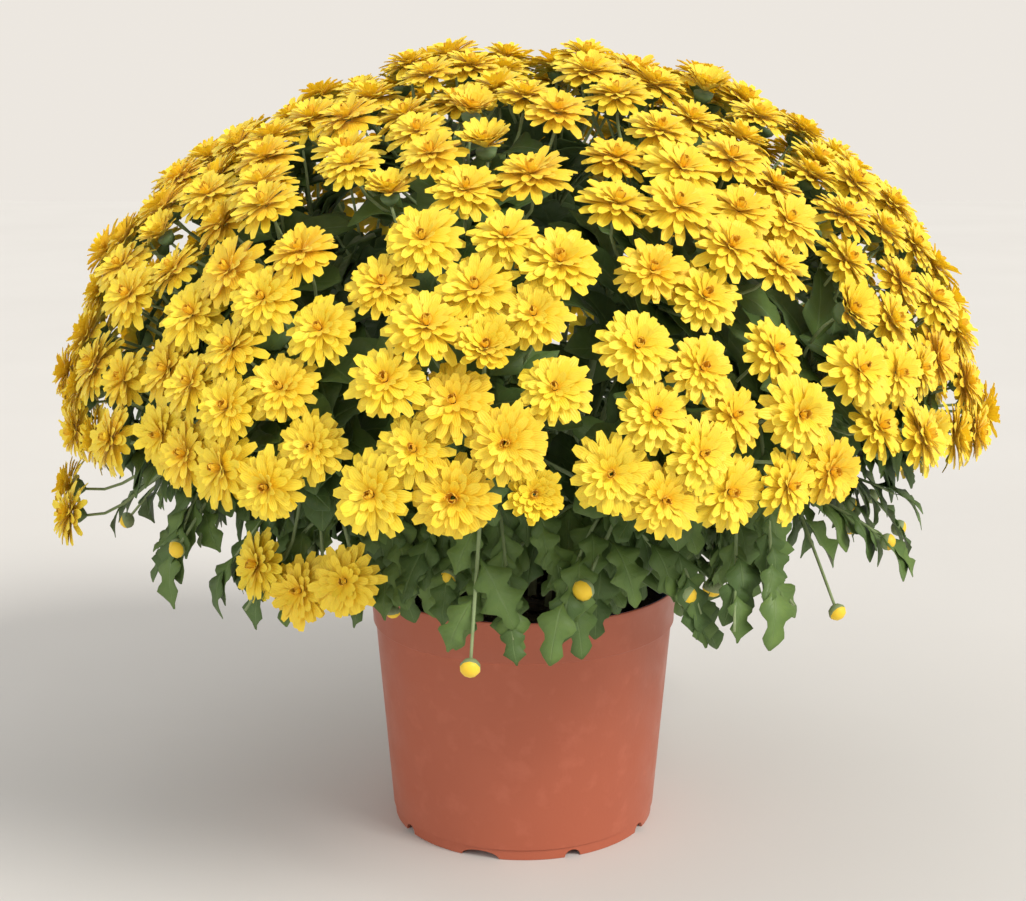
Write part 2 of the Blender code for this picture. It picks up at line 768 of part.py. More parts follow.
def depth_in_dome(point):
    """Roughly how deep a point lies under the dome that the blooms are on."""
    arm = point - Vector((0, 0, DOME_CENTRE_Z))
    rise = DOME_RISE if arm.z > 0 else DOME_DROP
    scaled = Vector((arm.x / DOME_RADIUS, arm.y / DOME_RADIUS, arm.z / rise)).length
    return (1 - scaled) * DOME_RISE


def plan_leaves(shoots, blooms, draw):
    """For each shoot, the leaves along its stem: hanging ones on the outer shoots."""
    for shoot in shoots:
        shoot["leaves"] = []
        outer = shoot["polar"] > SKIRT_ANGLE
        count = SKIRT_LEAVES if outer else UPPER_LEAVES
        along = (shoot["top"] - shoot["hub"]).normalized()
        taken = []
        for i in shoot["blooms"]:
            end = stalk_end(blooms[i])
            taken += [shoot["hub"].lerp(end, 0.15 * step) for step in range(7)]
        for k in range(count):
            share = (k + 0.5) / count
            if not outer:
                share = UPPER_LEAF_SHARE + (1 - UPPER_LEAF_SHARE) * share
            else:
                share *= SKIRT_REACH
            for attempt in range(LEAF_ATTEMPTS):
                place = leaf_root(shoot, max(share + draw.uniform(-0.06, 0.06), 0.0))
                turn = draw.uniform(-1.9, 1.9) if outer else draw.uniform(-math.pi, math.pi)
                across, second = square_across(along, shoot["outward"])
                way = across * math.cos(turn) + second * math.sin(turn)
                if outer:
                    way = (way + Vector((0, 0, SKIRT_HANG * (share - 1.1)))).normalized()
                    up = (Vector((0, 0, 1)) + shoot["outward"] * 0.8).normalized()
                else:
                    way = (way + along * 0.5).normalized()
                    up = along
                length = LEAF_LENGTH * draw.uniform(0.8, 1.15) * (1 - 0.35 * attempt / LEAF_ATTEMPTS)
                droop = draw.uniform(0.1, 0.5)
                sections = leaf_sections(place, way, up, length, length * LEAF_WIDTH_SHARE, droop)
                blade = [point for ring in sections[1:] for point in ring]
                crowded = any((p - q).length < LEAF_SPACING for p in blade for q in taken)
                if crowded or not clear_of_blooms(blade, blooms):
                    continue
                if keeps_to_its_place(blade, shoot, shoots, LEAF_SHELL_DEPTH):
                    shoot["leaves"].append(sections)
                    taken += blade
                    break
        shoot["taken"] = taken


def plan_side_leaves(shoot, base, tip, shoots, blooms, draw):
    """Small leaves along a bud's stalk, turned to one side and the other."""
    along = (tip - base).normalized()
    for k, share in enumerate(SIDE_LEAF_SHARES):
        hand = 1 if k % 2 else -1
        for _ in range(LEAF_ATTEMPTS):
            place = base.lerp(tip, share + draw.uniform(-0.05, 0.05))
            turn = Matrix.Rotation(hand * draw.uniform(*SIDE_LEAF_TURNS), 3, "Z")
            way = (turn @ along + Vector((0, 0, draw.uniform(-0.6, 0.2)))).normalized()
            up = (Vector((0, 0, 1)) + shoot["outward"] * 0.8).normalized()
            length = SIDE_LEAF_LENGTH * draw.uniform(0.8, 1.15)
            droop = draw.uniform(0.1, 0.5)
            sections = leaf_sections(place, way, up, length, length * LEAF_WIDTH_SHARE, droop)
            blade = [point for ring in sections[1:] for point in ring]
            crowded = any((p - q).length < LEAF_SPACING for p in blade for q in shoot["taken"])
            if crowded or not clear_of_blooms(blade, blooms):
                continue
            if keeps_to_its_place(blade, shoot, shoots, LEAF_SHELL_DEPTH):
                shoot["leaves"].append(sections)
                shoot["taken"] += blade
                break


def plan_buds(shoots, blooms, draw):
    """A bud with small leaves along its thin stalk for each outer shoot, just below the blooms."""
    for shoot in shoots:
        shoot["buds"] = []
        if shoot["polar"] < SKIRT_ANGLE:
            continue
        for _ in range(BUD_ATTEMPTS):
            turn = Matrix.Rotation(draw.uniform(-0.3, 0.3), 3, "Z")
            height = Vector((0, 0, draw.uniform(*BUD_HEIGHTS)))
            tip = turn @ shoot["outward"] * draw.uniform(*BUD_REACHES) + height
            base = along_stem(shoot, 0.93)
            way = (tip - base).normalized()
            radius = BUD_RADIUS * draw.uniform(0.8, 1.2)
            side = Vector((0, 0, 1))
            sections = [
                [base],
                ring_round(tip - way * radius * 1.6, way, side, radius * 0.55, STEM_SIDES),
                ring_round(tip, way, side, radius, STEM_SIDES),
                [tip + way * radius * 1.2],
            ]
            stalk = [base.lerp(tip, 0.2 * step) for step in range(2, 6)]
            crowded = any((p - q).length < 2 * LEAF_SPACING for p in stalk for q in shoot["taken"])
            blocked = any((bloom["centre"] - p).length < BUD_ROOM for bloom in blooms for p in stalk)
            bud = [point for ring in sections[1:] for point in ring]
            if crowded or blocked or not keeps_to_its_place(bud, shoot, shoots, -1.0):
                continue
            shoot["buds"].append(sections)
            shoot["taken"] += stalk
            plan_side_leaves(shoot, base, tip, shoots, blooms, draw)
            if len(shoot["buds"]) == BUDS_EACH:
                break


def make_shoots(shoots, blooms, collection, scraps, finish):
    """A node for each shoot: the stem and its stalks in one surface, with the leaves fused on."""
    for index, shoot in enumerate(shoots):
        bm = stem_bmesh(shoot, blooms)
        piece = object_from_bmesh(f"shoot_{index + 1:02d}", bm, collection, finish)
        for sections in shoot["leaves"] + shoot["buds"]:
            growth = bmesh.new()
            loft(growth, sections)
            bmesh.ops.triangulate(growth, faces=growth.faces)
            object_from_bmesh("growth", growth, scraps)
        join_all(piece, scraps)


def main():
    for item in list(bpy.data.objects):
        bpy.data.objects.remove(item)
    plant = bpy.data.collections.new("pot_chrysanthemum")
    cutters = bpy.data.collections.new("cutters")
    scraps = bpy.data.collections.new("growth_to_join")
    for collection in (plant, cutters, scraps):
        bpy.context.scene.collection.children.link(collection)

    draw = random.Random(SEED)
    blooms, anchors = plan_blooms(draw)
    near = neighbours_of(blooms)
    link_clusters(blooms, near)
    shoots = plan_shoots(blooms, anchors)
    plan_leaves(shoots, blooms, draw)
    plan_buds(shoots, blooms, draw)

    make_pot(plant, cutters, material("terracotta_plastic", (0.52, 0.14, 0.07), 0.45))
    make_potting_mix(shoots, plant, cutters, material("potting_mix", (0.05, 0.03, 0.02), 0.95))
    make_shoots(shoots, blooms, plant, scraps, material("leaf_green", (0.09, 0.19, 0.05), 0.6))
    make_clusters(blooms, near, plant, material("petal_yellow", (0.86, 0.55, 0.005), 0.6))


main()
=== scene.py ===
"""Looks of the pot chrysanthemum: double yellow blooms, cut leaves, stems, pot and potting mix."""

import math
import random

import bmesh
import bpy
import numpy as np
from mathutils import Matrix, Vector, noise


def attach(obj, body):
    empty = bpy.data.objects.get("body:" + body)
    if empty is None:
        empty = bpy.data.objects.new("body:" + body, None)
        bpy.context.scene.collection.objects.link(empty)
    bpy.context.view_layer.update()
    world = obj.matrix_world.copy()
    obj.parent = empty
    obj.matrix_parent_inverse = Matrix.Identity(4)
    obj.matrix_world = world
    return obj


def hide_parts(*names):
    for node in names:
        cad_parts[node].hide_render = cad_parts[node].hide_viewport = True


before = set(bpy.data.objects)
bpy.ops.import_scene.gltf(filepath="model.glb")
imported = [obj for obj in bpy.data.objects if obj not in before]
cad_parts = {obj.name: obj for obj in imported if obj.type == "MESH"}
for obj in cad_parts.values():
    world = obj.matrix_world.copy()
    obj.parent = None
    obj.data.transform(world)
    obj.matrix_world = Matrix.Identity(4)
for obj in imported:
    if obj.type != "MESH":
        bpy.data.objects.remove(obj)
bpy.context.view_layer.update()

# The solids' own measures, in metres, from which their growth is planned again below.
SEED = 7
CLEARANCE = 0.0006
POT_RIM_RADIUS = 0.105
POT_HEIGHT = 0.167
POT_WALL = 0.0016
POT_CLEARANCE = 0.003
BAND_HEIGHT = 0.0283
BAND_FOOT_RADIUS = 0.1021
BAND_LEDGE = 0.0014
BODY_FOOT_RADIUS = 0.0904
FOOT_HEIGHT = 0.0077
FOOT_TOP_RADIUS = 0.0882
FOOT_RADIUS = 0.0895
FOOT_THICKNESS = 0.0026
FLOOR_HEIGHT = 0.0061
NOTCH_COUNT = 9
NOTCH_WIDTH = 0.011
WIDE_NOTCH_WIDTH = 0.026
NOTCH_HEIGHT = 0.0050
WIDE_NOTCH_ANGLE = math.radians(251)
DRAIN_COUNT = 4
DRAIN_RADIUS = 0.0045
DRAIN_RING_RADIUS = 0.058
SOIL_TOP = 0.149
HOLE_DEPTH = 0.026
DOME_CENTRE_Z = 0.288
DOME_RADIUS = 0.289
DOME_RISE = 0.219
DOME_DROP = 0.150
DOME_LOWEST_ANGLE = math.radians(94)
EDGE_WAVE = math.radians(7)
EDGE_WAVES_ROUND = 4
SWELL = 0.008
SWELL_SCALE = 10.0
UP = Vector((0.0, 0.0, 1.0))
CROWN = Vector((0.0, 0.0, 0.200))
CORE_RADIUS = 0.100
BLOOM_COUNT = 336
SHOOT_COUNT = 25
BLOOM_RADIUS = 0.0190
BLOOM_SPREAD = (0.88, 1.08)
CALYX_DEPTH = 0.42
BLOOM_TILT = math.radians(11)
BLOOM_UPTURN = 0.15
BLOOM_LIFT = 0.006
EVEN_SPACING = 0.056
CLUMP_SCALE = 24.0
CLUMP_SHIFT = 0.013
CLOSEST_SPACING = 0.034
CLUSTER_PULL = 0.90
GOLDEN_ANGLE = math.pi * (3 - math.sqrt(5))
STRAYS = [
    (math.radians(194), 0.294, 0.243, 2),
    (math.radians(239), 0.240, 0.230, 3),
    (math.radians(18), 0.292, 0.240, 2),
    (math.radians(118), 0.258, 0.233, 3),
]
STRAY_STEP = 0.030
STRAY_RADIUS = 0.0185
STRAY_UPTURN = 0.25
STEM_CIRCLE_RADIUS = 0.080
HUB_DEPTH = 0.078
FORK_STEP = 0.005
LEAF_LENGTH = 0.052
LEAF_WIDTH_SHARE = 0.66
LEAF_THICKNESS = 0.0017
# Along a leaf, half its width, how far its lobes sweep forward.
LEAF_OUTLINE = ((0.44, 0.50, 0.06), (0.57, 0.20, 0.0), (0.78, 0.40, 0.05))
LEAF_SHELL_DEPTH = 0.030
LEAF_MARGIN = 0.0012
LEAF_SPACING = 0.008
LEAF_ATTEMPTS = 30
UPPER_LEAVES = 1
UPPER_LEAF_SHARE = 0.4
SKIRT_LEAVES = 8
SKIRT_REACH = 1.6
SKIRT_HANG = 1.0
LEAF_LEAN = 0.8
SKIRT_ANGLE = math.radians(58)
STEEPEST_SHOOT = math.radians(80)
STEM_LEAN = 0.012
BOW_SHARES = (0.35, 0.70)
STEM_REACH = 0.075
STALK_GAP = 0.0006
BUD_RADIUS = 0.0055
BUD_ROOM = 0.030
BUDS_EACH = 1
BUD_ATTEMPTS = 60
BUD_HEIGHTS = (0.195, 0.240)
BUD_REACHES = (0.23, 0.275)
SIDE_LEAF_SHARES = (0.40, 0.58, 0.76)
SIDE_LEAF_LENGTH = 0.038
SIDE_LEAF_TURNS = (0.6, 1.3)
LOWEST_BLOOM_Z = 0.240
LEAF_ROOM = 0.0225

# Petals, in shares of the bloom's radius. For each layer: how many petals, their length, their
# half width, how far out and how high they start, how steeply they rise at the foot and at the tip,
# how deep their channel is, and how many rings their blade has.
PETAL_LAYERS = [
    (17, 0.93, 0.150, 0.10, 0.00, 4, -20, 0.20, 2),
    (16, 0.84, 0.142, 0.10, 0.06, 17, -4, 0.24, 2),
    (14, 0.68, 0.128, 0.09, 0.12, 30, 10, 0.28, 2),
    (11, 0.48, 0.108, 0.08, 0.16, 44, 36, 0.32, 1),
    (8, 0.30, 0.090, 0.06, 0.18, 62, 108, 0.40, 1),
]
PETAL_THICKNESS = 0.014
PETAL_EDGE = math.radians(60)
OPEN_BLOOMS = 6
CLOSING_BLOOMS = 2
CLOSING_LIFT = 34
CLOSING_SHARE = 0.8
CLOSING_CHANCE = 0.08
VISIBLE_BLOOM_SHARE = 1.13

# Growth that only the looks have: leaves under the blooms and round each fork, hanging leaves, and pale
# side branches of the outer shoots that arch out under the blooms.
STALK_RADII = (0.0013, 0.0009)
STALK_SIDES = 5
STEM_RADII = [0.0031, 0.0031, 0.0030, 0.0029, 0.0027, 0.0025, 0.0024, 0.0024, 0.0023]
MAIN_STEM_SIDES = 7
MIDDLE_STALK_RADIUS = 0.0018
LEAF_DROOPS = (0.1, 0.5)
UNDER_LEAVES = 22
UNDER_LEAF_LENGTHS = (0.030, 0.050)
UNDER_LEAF_DEPTH = 0.010
INNER_LEAVES = 17
INNER_LEAF_SHARES = (0.40, 1.40)
INNER_LEAF_LENGTHS = (0.048, 0.064)
HANGING_LEAVES = 34
HANGING_LEAN = 0.9
HANGING_LEAF_LENGTHS = (0.034, 0.052)
HANGING_LEAF_DEPTH = 0.012
SKIRT_BRANCHES = 6
BRANCH_LEAVES = 10
BRANCH_LEAF_LENGTHS = (0.024, 0.038)
BRANCH_LEAF_ROOM = 0.019
BRANCH_REACHES = (0.15, 0.272)
BRANCH_HEIGHTS = (0.182, 0.222)
BRANCH_SLOPE = 0.22
SKIRT_LOWEST = 0.146
SKIRT_SLOPE = 0.26
BRANCH_RADII = (0.0015, 0.0008)
BRANCH_FAN = 0.9
BRANCH_BUD_SHARE = 0.4
BRANCH_BUD_RADII = (0.0045, 0.0065)
BUD_ARCH = 0.0025
BUD_STALK_RADII = (0.0014, 0.0009)

POT_ROUGHNESS = 0.42
POT_EDGE = math.radians(32)
CRUMB_COUNT = 420
CRUMB_RADII = (0.0012, 0.0028)
SOIL_RINGS = 22

# The tone of the floor far off, which the background takes on.
FAR_FLOOR_TONE = (0.842, 0.800, 0.745)
SKY_TONE = (1.0, 0.985, 0.96)
SKY_STRENGTH = 0.70

CAMERA_PLACE = Vector((-0.0072, -1.1, 0.497))
CAMERA_PITCH = math.radians(12.47)
CAMERA_LENS = 58.98


def smooth_path(points, fraction):
    """A point on the Bezier curve of the given control points."""
    points = [Vector(point) for point in points]
    while len(points) > 1:
        points = [a.lerp(b, fraction) for a, b in zip(points, points[1:])]
    return points[0]


def square_across(direction, side):
    """Two unit vectors across a direction, the first as near to side as it can be."""
    first = (side - side.project(direction)).normalized()
    return first, direction.cross(first).normalized()


def turned_across(direction, side, turn):
    """The unit vector across a direction that is turned by an angle away from the given side."""
    first, second = square_across(direction, side)
    return first * math.cos(turn) + second * math.sin(turn)


def ring_round(place, direction, side, radius, count):
    """Points round a direction, the first of them towards the given side."""
    turns = [k * math.tau / count for k in range(count)]
    return [place + turned_across(direction, side, turn) * radius for turn in turns]


def about_z(angle):
    """A turn about the upright."""
    return Matrix.Rotation(angle, 3, "Z")


def leaf_up(outward, lean):
    """The way a hanging leaf's upper side faces: up, leaning outward."""
    return (UP + outward * lean).normalized()


def body_radius(height):
    """The pot's outer radius at a height below its rim band."""
    top = POT_HEIGHT - BAND_HEIGHT
    share = (height - FOOT_HEIGHT) / (top - FOOT_HEIGHT)
    return BODY_FOOT_RADIUS + share * (BAND_FOOT_RADIUS - BAND_LEDGE - BODY_FOOT_RADIUS)


def dome_point(direction):
    """The point of the dome in a unit direction from its centre."""
    rise = DOME_RISE if direction.z > 0 else DOME_DROP
    return Vector((DOME_RADIUS * direction.x, DOME_RADIUS * direction.y, DOME_CENTRE_Z + rise * direction.z))


def dome_normal(point):
    """The outward direction of the dome at one of its points."""
    rise = DOME_RISE if point.z > DOME_CENTRE_Z else 2 * DOME_DROP
    offset = (point.z - DOME_CENTRE_Z) / rise**2
    return Vector((point.x / DOME_RADIUS**2, point.y / DOME_RADIUS**2, offset)).normalized()


def scaled_to_dome(point):
    """A point seen from the dome's centre, scaled so that the dome is a unit ball."""
    arm = point - UP * DOME_CENTRE_Z
    rise = DOME_RISE if arm.z > 0 else DOME_DROP
    return Vector((arm.x / DOME_RADIUS, arm.y / DOME_RADIUS, arm.z / rise))


def depth_in_dome(point):
    """Roughly how deep a point lies under the dome that the blooms are on."""
    return (1 - scaled_to_dome(point).length) * DOME_RISE


def spread_directions(count, turn):
    """Unit directions spread evenly over the dome, from its top to its lower edge."""
    directions = []
    for i in range(count):
        z = 1 - (i + 0.5) / count * (1 - math.cos(DOME_LOWEST_ANGLE))
        across = math.sqrt(1 - z * z)
        angle = turn + i * GOLDEN_ANGLE
        directions.append(Vector((across * math.cos(angle), across * math.sin(angle), z)))
    return directions


def relax(points, rounds, reach):
    """Pushes points on the dome apart, those nearer than the reach, and keeps them above its edge."""
    scale = np.array([DOME_RADIUS, DOME_RADIUS, DOME_RISE])
    centre = np.array([0.0, 0.0, DOME_CENTRE_Z])
    places = np.array([list(point) for point in points])
    for _ in range(rounds):
        offsets = places[:, None] - places[None]
        gaps = np.linalg.norm(offsets, axis=2) + np.eye(len(places))
        push = np.clip(1 - gaps / reach, 0, None) * (1 - np.eye(len(places)))
        places = places + (offsets / gaps[..., None] * push[..., None]).sum(axis=1) * reach * 0.25
        unit = (places - centre) / scale
        unit /= np.linalg.norm(unit, axis=1)[:, None]
        wave = EDGE_WAVE * np.cos(EDGE_WAVES_ROUND * np.arctan2(unit[:, 1], unit[:, 0]))
        unit[:, 2] = np.maximum(unit[:, 2], np.cos(DOME_LOWEST_ANGLE + wave))
        places = np.array([list(dome_point(Vector(u).normalized())) for u in unit])
    return [Vector(place) for place in places]


def drift(place):
    """A smooth and steady wander, the same for the same place."""
    return Vector(noise.noise(place + Vector((0, 0, 31.7 * step))) for step in (1, 2, 3))


def new_bloom(centre, way, radius, cluster):
    """A bloom: its centre, the way it faces, its radius and the cluster it belongs to."""
    return {"centre": centre, "normal": way.normalized(), "radius": radius, "cluster": cluster}


def plan_blooms(draw):
    """Every bloom of the dome and the strays, and the way to each cluster from the crown."""
    start = [dome_point(direction) for direction in spread_directions(BLOOM_COUNT, 0.0)]
    start = [point + Vector(draw.gauss(0, 0.006) for _ in range(3)) for point in start]
    points = relax(start, 24, EVEN_SPACING)
    points = [point + drift(point * CLUMP_SCALE) * CLUMP_SHIFT for point in points]
    points = relax(points, 8, CLOSEST_SPACING)

    spread = spread_directions(SHOOT_COUNT, 1.0)
    anchors = [(dome_point(direction) - CROWN).normalized() for direction in spread]
    for _ in range(10):
        ways = [(p - CROWN).normalized() for p in points]
        homes = [max(range(SHOOT_COUNT), key=lambda i: anchors[i].dot(way)) for way in ways]
        for i in range(SHOOT_COUNT):
            members = [way for way, home in zip(ways, homes) if home == i]
            anchors[i] = sum(members, Vector()).normalized()

    blooms = []
    for point, home in zip(points, homes):
        middle = sum((p for p, other in zip(points, homes) if other == home), Vector()) / homes.count(home)
        centre = dome_point(scaled_to_dome(middle.lerp(point, CLUSTER_PULL)).normalized())
        normal = dome_normal(centre)
        wobble = Vector(draw.uniform(-1, 1) for _ in range(3)) * math.tan(BLOOM_TILT)
        lift = draw.uniform(-BLOOM_LIFT, BLOOM_LIFT) + SWELL * noise.noise(centre * SWELL_SCALE)
        radius = BLOOM_RADIUS * draw.uniform(*BLOOM_SPREAD)
        blooms.append(new_bloom(centre + normal * lift, normal + wobble + UP * BLOOM_UPTURN, radius, home))
    for index, (azimuth, reach, height, count) in enumerate(STRAYS):
        outward = Vector((math.cos(azimuth), math.sin(azimuth), 0.0))
        along = Vector((-outward.y, outward.x, 0.0))
        for k in range(count):
            step = k - (count - 1) / 2
            rise = STRAY_STEP * (0.35 if k % 2 else 0.0)
            centre = outward * reach + along * step * STRAY_STEP + UP * (height - rise)
            way = outward + along * step * 0.3 + UP * STRAY_UPTURN
            blooms.append(new_bloom(centre, way, STRAY_RADIUS, SHOOT_COUNT + index))
    return blooms, anchors


def stalk_end(bloom):
    """The point just under a bloom where its stalk ends."""
    return bloom["centre"] - bloom["normal"] * (CALYX_DEPTH * bloom["radius"] + STALK_GAP)


def plan_shoots(blooms, anchors):
    """Every shoot: the hole that its stem stands in, its path, and the blooms that it carries."""
    shoots = []
    for index, anchor in enumerate(anchors):
        own = [i for i, bloom in enumerate(blooms) if bloom["cluster"] == index]
        root = max(own, key=lambda i: anchor.dot((blooms[i]["centre"] - CROWN).normalized()))
        polar = anchor.angle(UP)
        azimuth = math.atan2(anchor.y, anchor.x)
        outward = Vector((math.cos(azimuth), math.sin(azimuth), 0.0))
        hole = outward * STEM_CIRCLE_RADIUS * min(1.0, polar / STEEPEST_SHOOT)
        top = stalk_end(blooms[root])
        hub = CROWN + anchor * ((top - CROWN).length - HUB_DEPTH)
        foot = Vector((hole.x, hole.y, SOIL_TOP))
        bend = foot + outward * STEM_LEAN * polar + UP * STEM_REACH
        shoots.append(
            {
                "anchor": anchor,
                "polar": polar,
                "outward": outward,
                "side": Vector((-outward.y, outward.x, 0.0)),
                "hole": hole,
                "foot": foot,
                "curve": [foot, bend, hub.lerp(bend, 0.15), hub],
                "hub": hub,
                "top": top,
                "root": root,
                "blooms": [i for i in own if i != root],
                "leaves": [],
                "buds": [],
                "taken": [],
            }
        )
    for i, bloom in enumerate(blooms):
        if bloom["cluster"] >= SHOOT_COUNT:
            way = (bloom["centre"] - CROWN).normalized()
            carrier = max(shoots, key=lambda shoot: shoot["anchor"].dot(way))
            carrier["blooms"].append(i)
    return shoots


def stem_top(shoot):
    """The point where the stem proper ends, just under its fork."""
    return shoot["hub"] - (shoot["top"] - shoot["hub"]).normalized() * FORK_STEP * 2.5


def along_stem(shoot, share):
    """A point on the stem's own line, from just above the mix at 0 to under the fork at 1."""
    bows = [smooth_path(shoot["curve"], bow) for bow in BOW_SHARES]
    places = [shoot["foot"].lerp(bows[0], 0.6), *bows, stem_top(shoot)]
    step = min(int(share * 3), 2)
    return places[step].lerp(places[step + 1], share * 3 - step)


def leaf_root(shoot, share):
    """A point that a leaf grows from: on the stem up to a share of 0.97, beyond 1 on the middle stalk."""
    if share < 1:
        return along_stem(shoot, min(share, 0.97))
    return shoot["hub"].lerp(shoot["top"], share - 1)


def leaf_blade(base, direction, up, length, droop):
    """Points round a leaf's blade: two pairs of forward-swept lobes and the tip."""
    side = direction.cross(up).normalized()
    up = side.cross(direction).normalized()
    width = length * LEAF_WIDTH_SHARE
    points = []
    for along, half, sweep in LEAF_OUTLINE:
        rib = base + direction * along * length + up * droop * length * (0.25 - (along - 0.3) ** 2 * 1.2)
        spread = side * half * width
        lift = direction * sweep * length + up * half * 0.1 * width
        points += [rib + spread + lift, rib - up * LEAF_THICKNESS, rib - spread + lift]
    points.append(base + direction * length - up * droop * length * 0.35)
    return points


def keeps_to_its_place(points, shoot, shoots, shell_depth):
    """Whether growth keeps to its shoot's own share of the dome, off the pot and under the blooms."""
    for point in points:
        arm = point - CROWN
        if arm.length < CORE_RADIUS:
            return False
        for other in shoots:
            if other is shoot:
                continue
            wall = (other["anchor"] - shoot["anchor"]).normalized()
            if arm.dot(wall) > -LEAF_MARGIN:
                return False
        reach = math.hypot(point.x, point.y)
        if point.z < POT_HEIGHT + POT_CLEARANCE and reach < POT_RIM_RADIUS + POT_CLEARANCE:
            return False
        if point.z > LOWEST_BLOOM_Z and depth_in_dome(point) < shell_depth:
            return False
    return True


def take_leaf(shoot, leaf, shoots, blooms):
    """Gives the shoot a leaf if its blade keeps off its neighbours, the blooms and the pot."""
    blade = leaf_blade(*leaf)
    crowded = any((p - q).length < LEAF_SPACING for p in blade for q in shoot["taken"])
    if crowded or not all((bloom["centre"] - p).length > LEAF_ROOM for bloom in blooms for p in blade):
        return False
    if not keeps_to_its_place(blade, shoot, shoots, LEAF_SHELL_DEPTH):
        return False
    shoot["leaves"].append((*leaf, "large"))
    shoot["taken"] += blade
    return True


def plan_leaves(shoots, blooms, draw):
    """For each shoot, the leaves along its stem: hanging ones on the outer shoots."""
    for shoot in shoots:
        outer = shoot["polar"] > SKIRT_ANGLE
        count = SKIRT_LEAVES if outer else UPPER_LEAVES
        along = (shoot["top"] - shoot["hub"]).normalized()
        for i in shoot["blooms"]:
            end = stalk_end(blooms[i])
            shoot["taken"] += [shoot["hub"].lerp(end, 0.15 * step) for step in range(7)]
        for k in range(count):
            share = (k + 0.5) / count
            share = share * SKIRT_REACH if outer else UPPER_LEAF_SHARE + (1 - UPPER_LEAF_SHARE) * share
            for attempt in range(LEAF_ATTEMPTS):
                place = leaf_root(shoot, max(share + draw.uniform(-0.06, 0.06), 0.0))
                turn = draw.uniform(-1.9, 1.9) if outer else draw.uniform(-math.pi, math.pi)
                way = turned_across(along, shoot["outward"], turn)
                if outer:
                    way = (way + UP * (SKIRT_HANG * (share - 1.1))).normalized()
                    up = leaf_up(shoot["outward"], LEAF_LEAN)
                else:
                    way = (way + along * 0.5).normalized()
                    up = along
                length = LEAF_LENGTH * draw.uniform(0.8, 1.15) * (1 - 0.35 * attempt / LEAF_ATTEMPTS)
                if take_leaf(shoot, (place, way, up, length, draw.uniform(0.1, 0.5)), shoots, blooms):
                    break


def plan_side_leaves(shoot, base, tip, shoots, blooms, draw):
    """Small leaves along a bud's stalk, turned to one side and the other."""
    along = (tip - base).normalized()
    for k, share in enumerate(SIDE_LEAF_SHARES):
        hand = 1 if k % 2 else -1
        for _ in range(LEAF_ATTEMPTS):
            place = base.lerp(tip, share + draw.uniform(-0.05, 0.05))
            turn = about_z(hand * draw.uniform(*SIDE_LEAF_TURNS))
            way = (turn @ along + UP * draw.uniform(-0.6, 0.2)).normalized()
            up = leaf_up(shoot["outward"], LEAF_LEAN)
            length = SIDE_LEAF_LENGTH * draw.uniform(0.8, 1.15)
            if take_leaf(shoot, (place, way, up, length, draw.uniform(0.1, 0.5)), shoots, blooms):
                break


def plan_buds(shoots, blooms, draw):
    """A bud on a thin stalk for each outer shoot, just below the blooms."""
    for shoot in shoots:
        if shoot["polar"] < SKIRT_ANGLE:
            continue
        for _ in range(BUD_ATTEMPTS):
            turn = about_z(draw.uniform(-0.3, 0.3))
            height = UP * draw.uniform(*BUD_HEIGHTS)
            tip = turn @ shoot["outward"] * draw.uniform(*BUD_REACHES) + height
            base = along_stem(shoot, 0.93)
            way = (tip - base).normalized()
            radius = BUD_RADIUS * draw.uniform(0.8, 1.2)
            bud = [tip + way * radius * 1.2]
            bud += ring_round(tip - way * radius * 1.6, way, UP, radius * 0.55, 3)
            bud += ring_round(tip, way, UP, radius, 3)
            stalk = [base.lerp(tip, 0.2 * step) for step in range(2, 6)]
            crowded = any((p - q).length < 2 * LEAF_SPACING for p in stalk for q in shoot["taken"])
            blocked = any((bloom["centre"] - p).length < BUD_ROOM for bloom in blooms for p in stalk)
            if crowded or blocked or not keeps_to_its_place(bud, shoot, shoots, -1.0):
                continue
            shoot["buds"].append((base, tip, radius))
            shoot["taken"] += stalk
            plan_side_leaves(shoot, base, tip, shoots, blooms, draw)
            if len(shoot["buds"]) == BUDS_EACH:
                break


def give(tree, socket, value):
    """Sets a node's input to a value, or links it to another node's output."""
    if isinstance(value, bpy.types.NodeSocket):
        tree.links.new(value, socket)
    else:
        socket.default_value = (*value, 1.0) if socket.type == "RGBA" else value


def add_node(tree, kind, inputs, **settings):
    """A node with some of its settings and inputs filled in."""
    node = tree.nodes.new(kind)
    for name, value in settings.items():
        setattr(node, name, value)
    for key, value in inputs.items():
        give(tree, node.inputs[key], value)
    return node


def mottle_group():
    """A node group: soft blotches over the surface, between two values."""
    group = bpy.data.node_groups.new("mottle", "ShaderNodeTree")
    for name, start in (("Scale", 60.0), ("Detail", 4.0), ("Low", 0.0), ("High", 1.0)):
        socket = group.interface.new_socket(name, in_out="INPUT", socket_type="NodeSocketFloat")
        socket.default_value = start
    group.interface.new_socket("Value", in_out="OUTPUT", socket_type="NodeSocketFloat")
    given = group.nodes.new("NodeGroupInput").outputs
    place = group.nodes.new("ShaderNodeTexCoord").outputs["Object"]
    inputs = {"Vector": place, "Scale": given["Scale"], "Detail": given["Detail"]}
    blotches = add_node(group, "ShaderNodeTexNoise", inputs).outputs["Fac"]
    inputs = {"Value": blotches, "From Min": 0.3, "From Max": 0.7}
    inputs |= {"To Min": given["Low"], "To Max": given["High"]}
    spread = add_node(group, "ShaderNodeMapRange", inputs).outputs["Result"]
    add_node(group, "NodeGroupOutput", {"Value": spread})
    return group


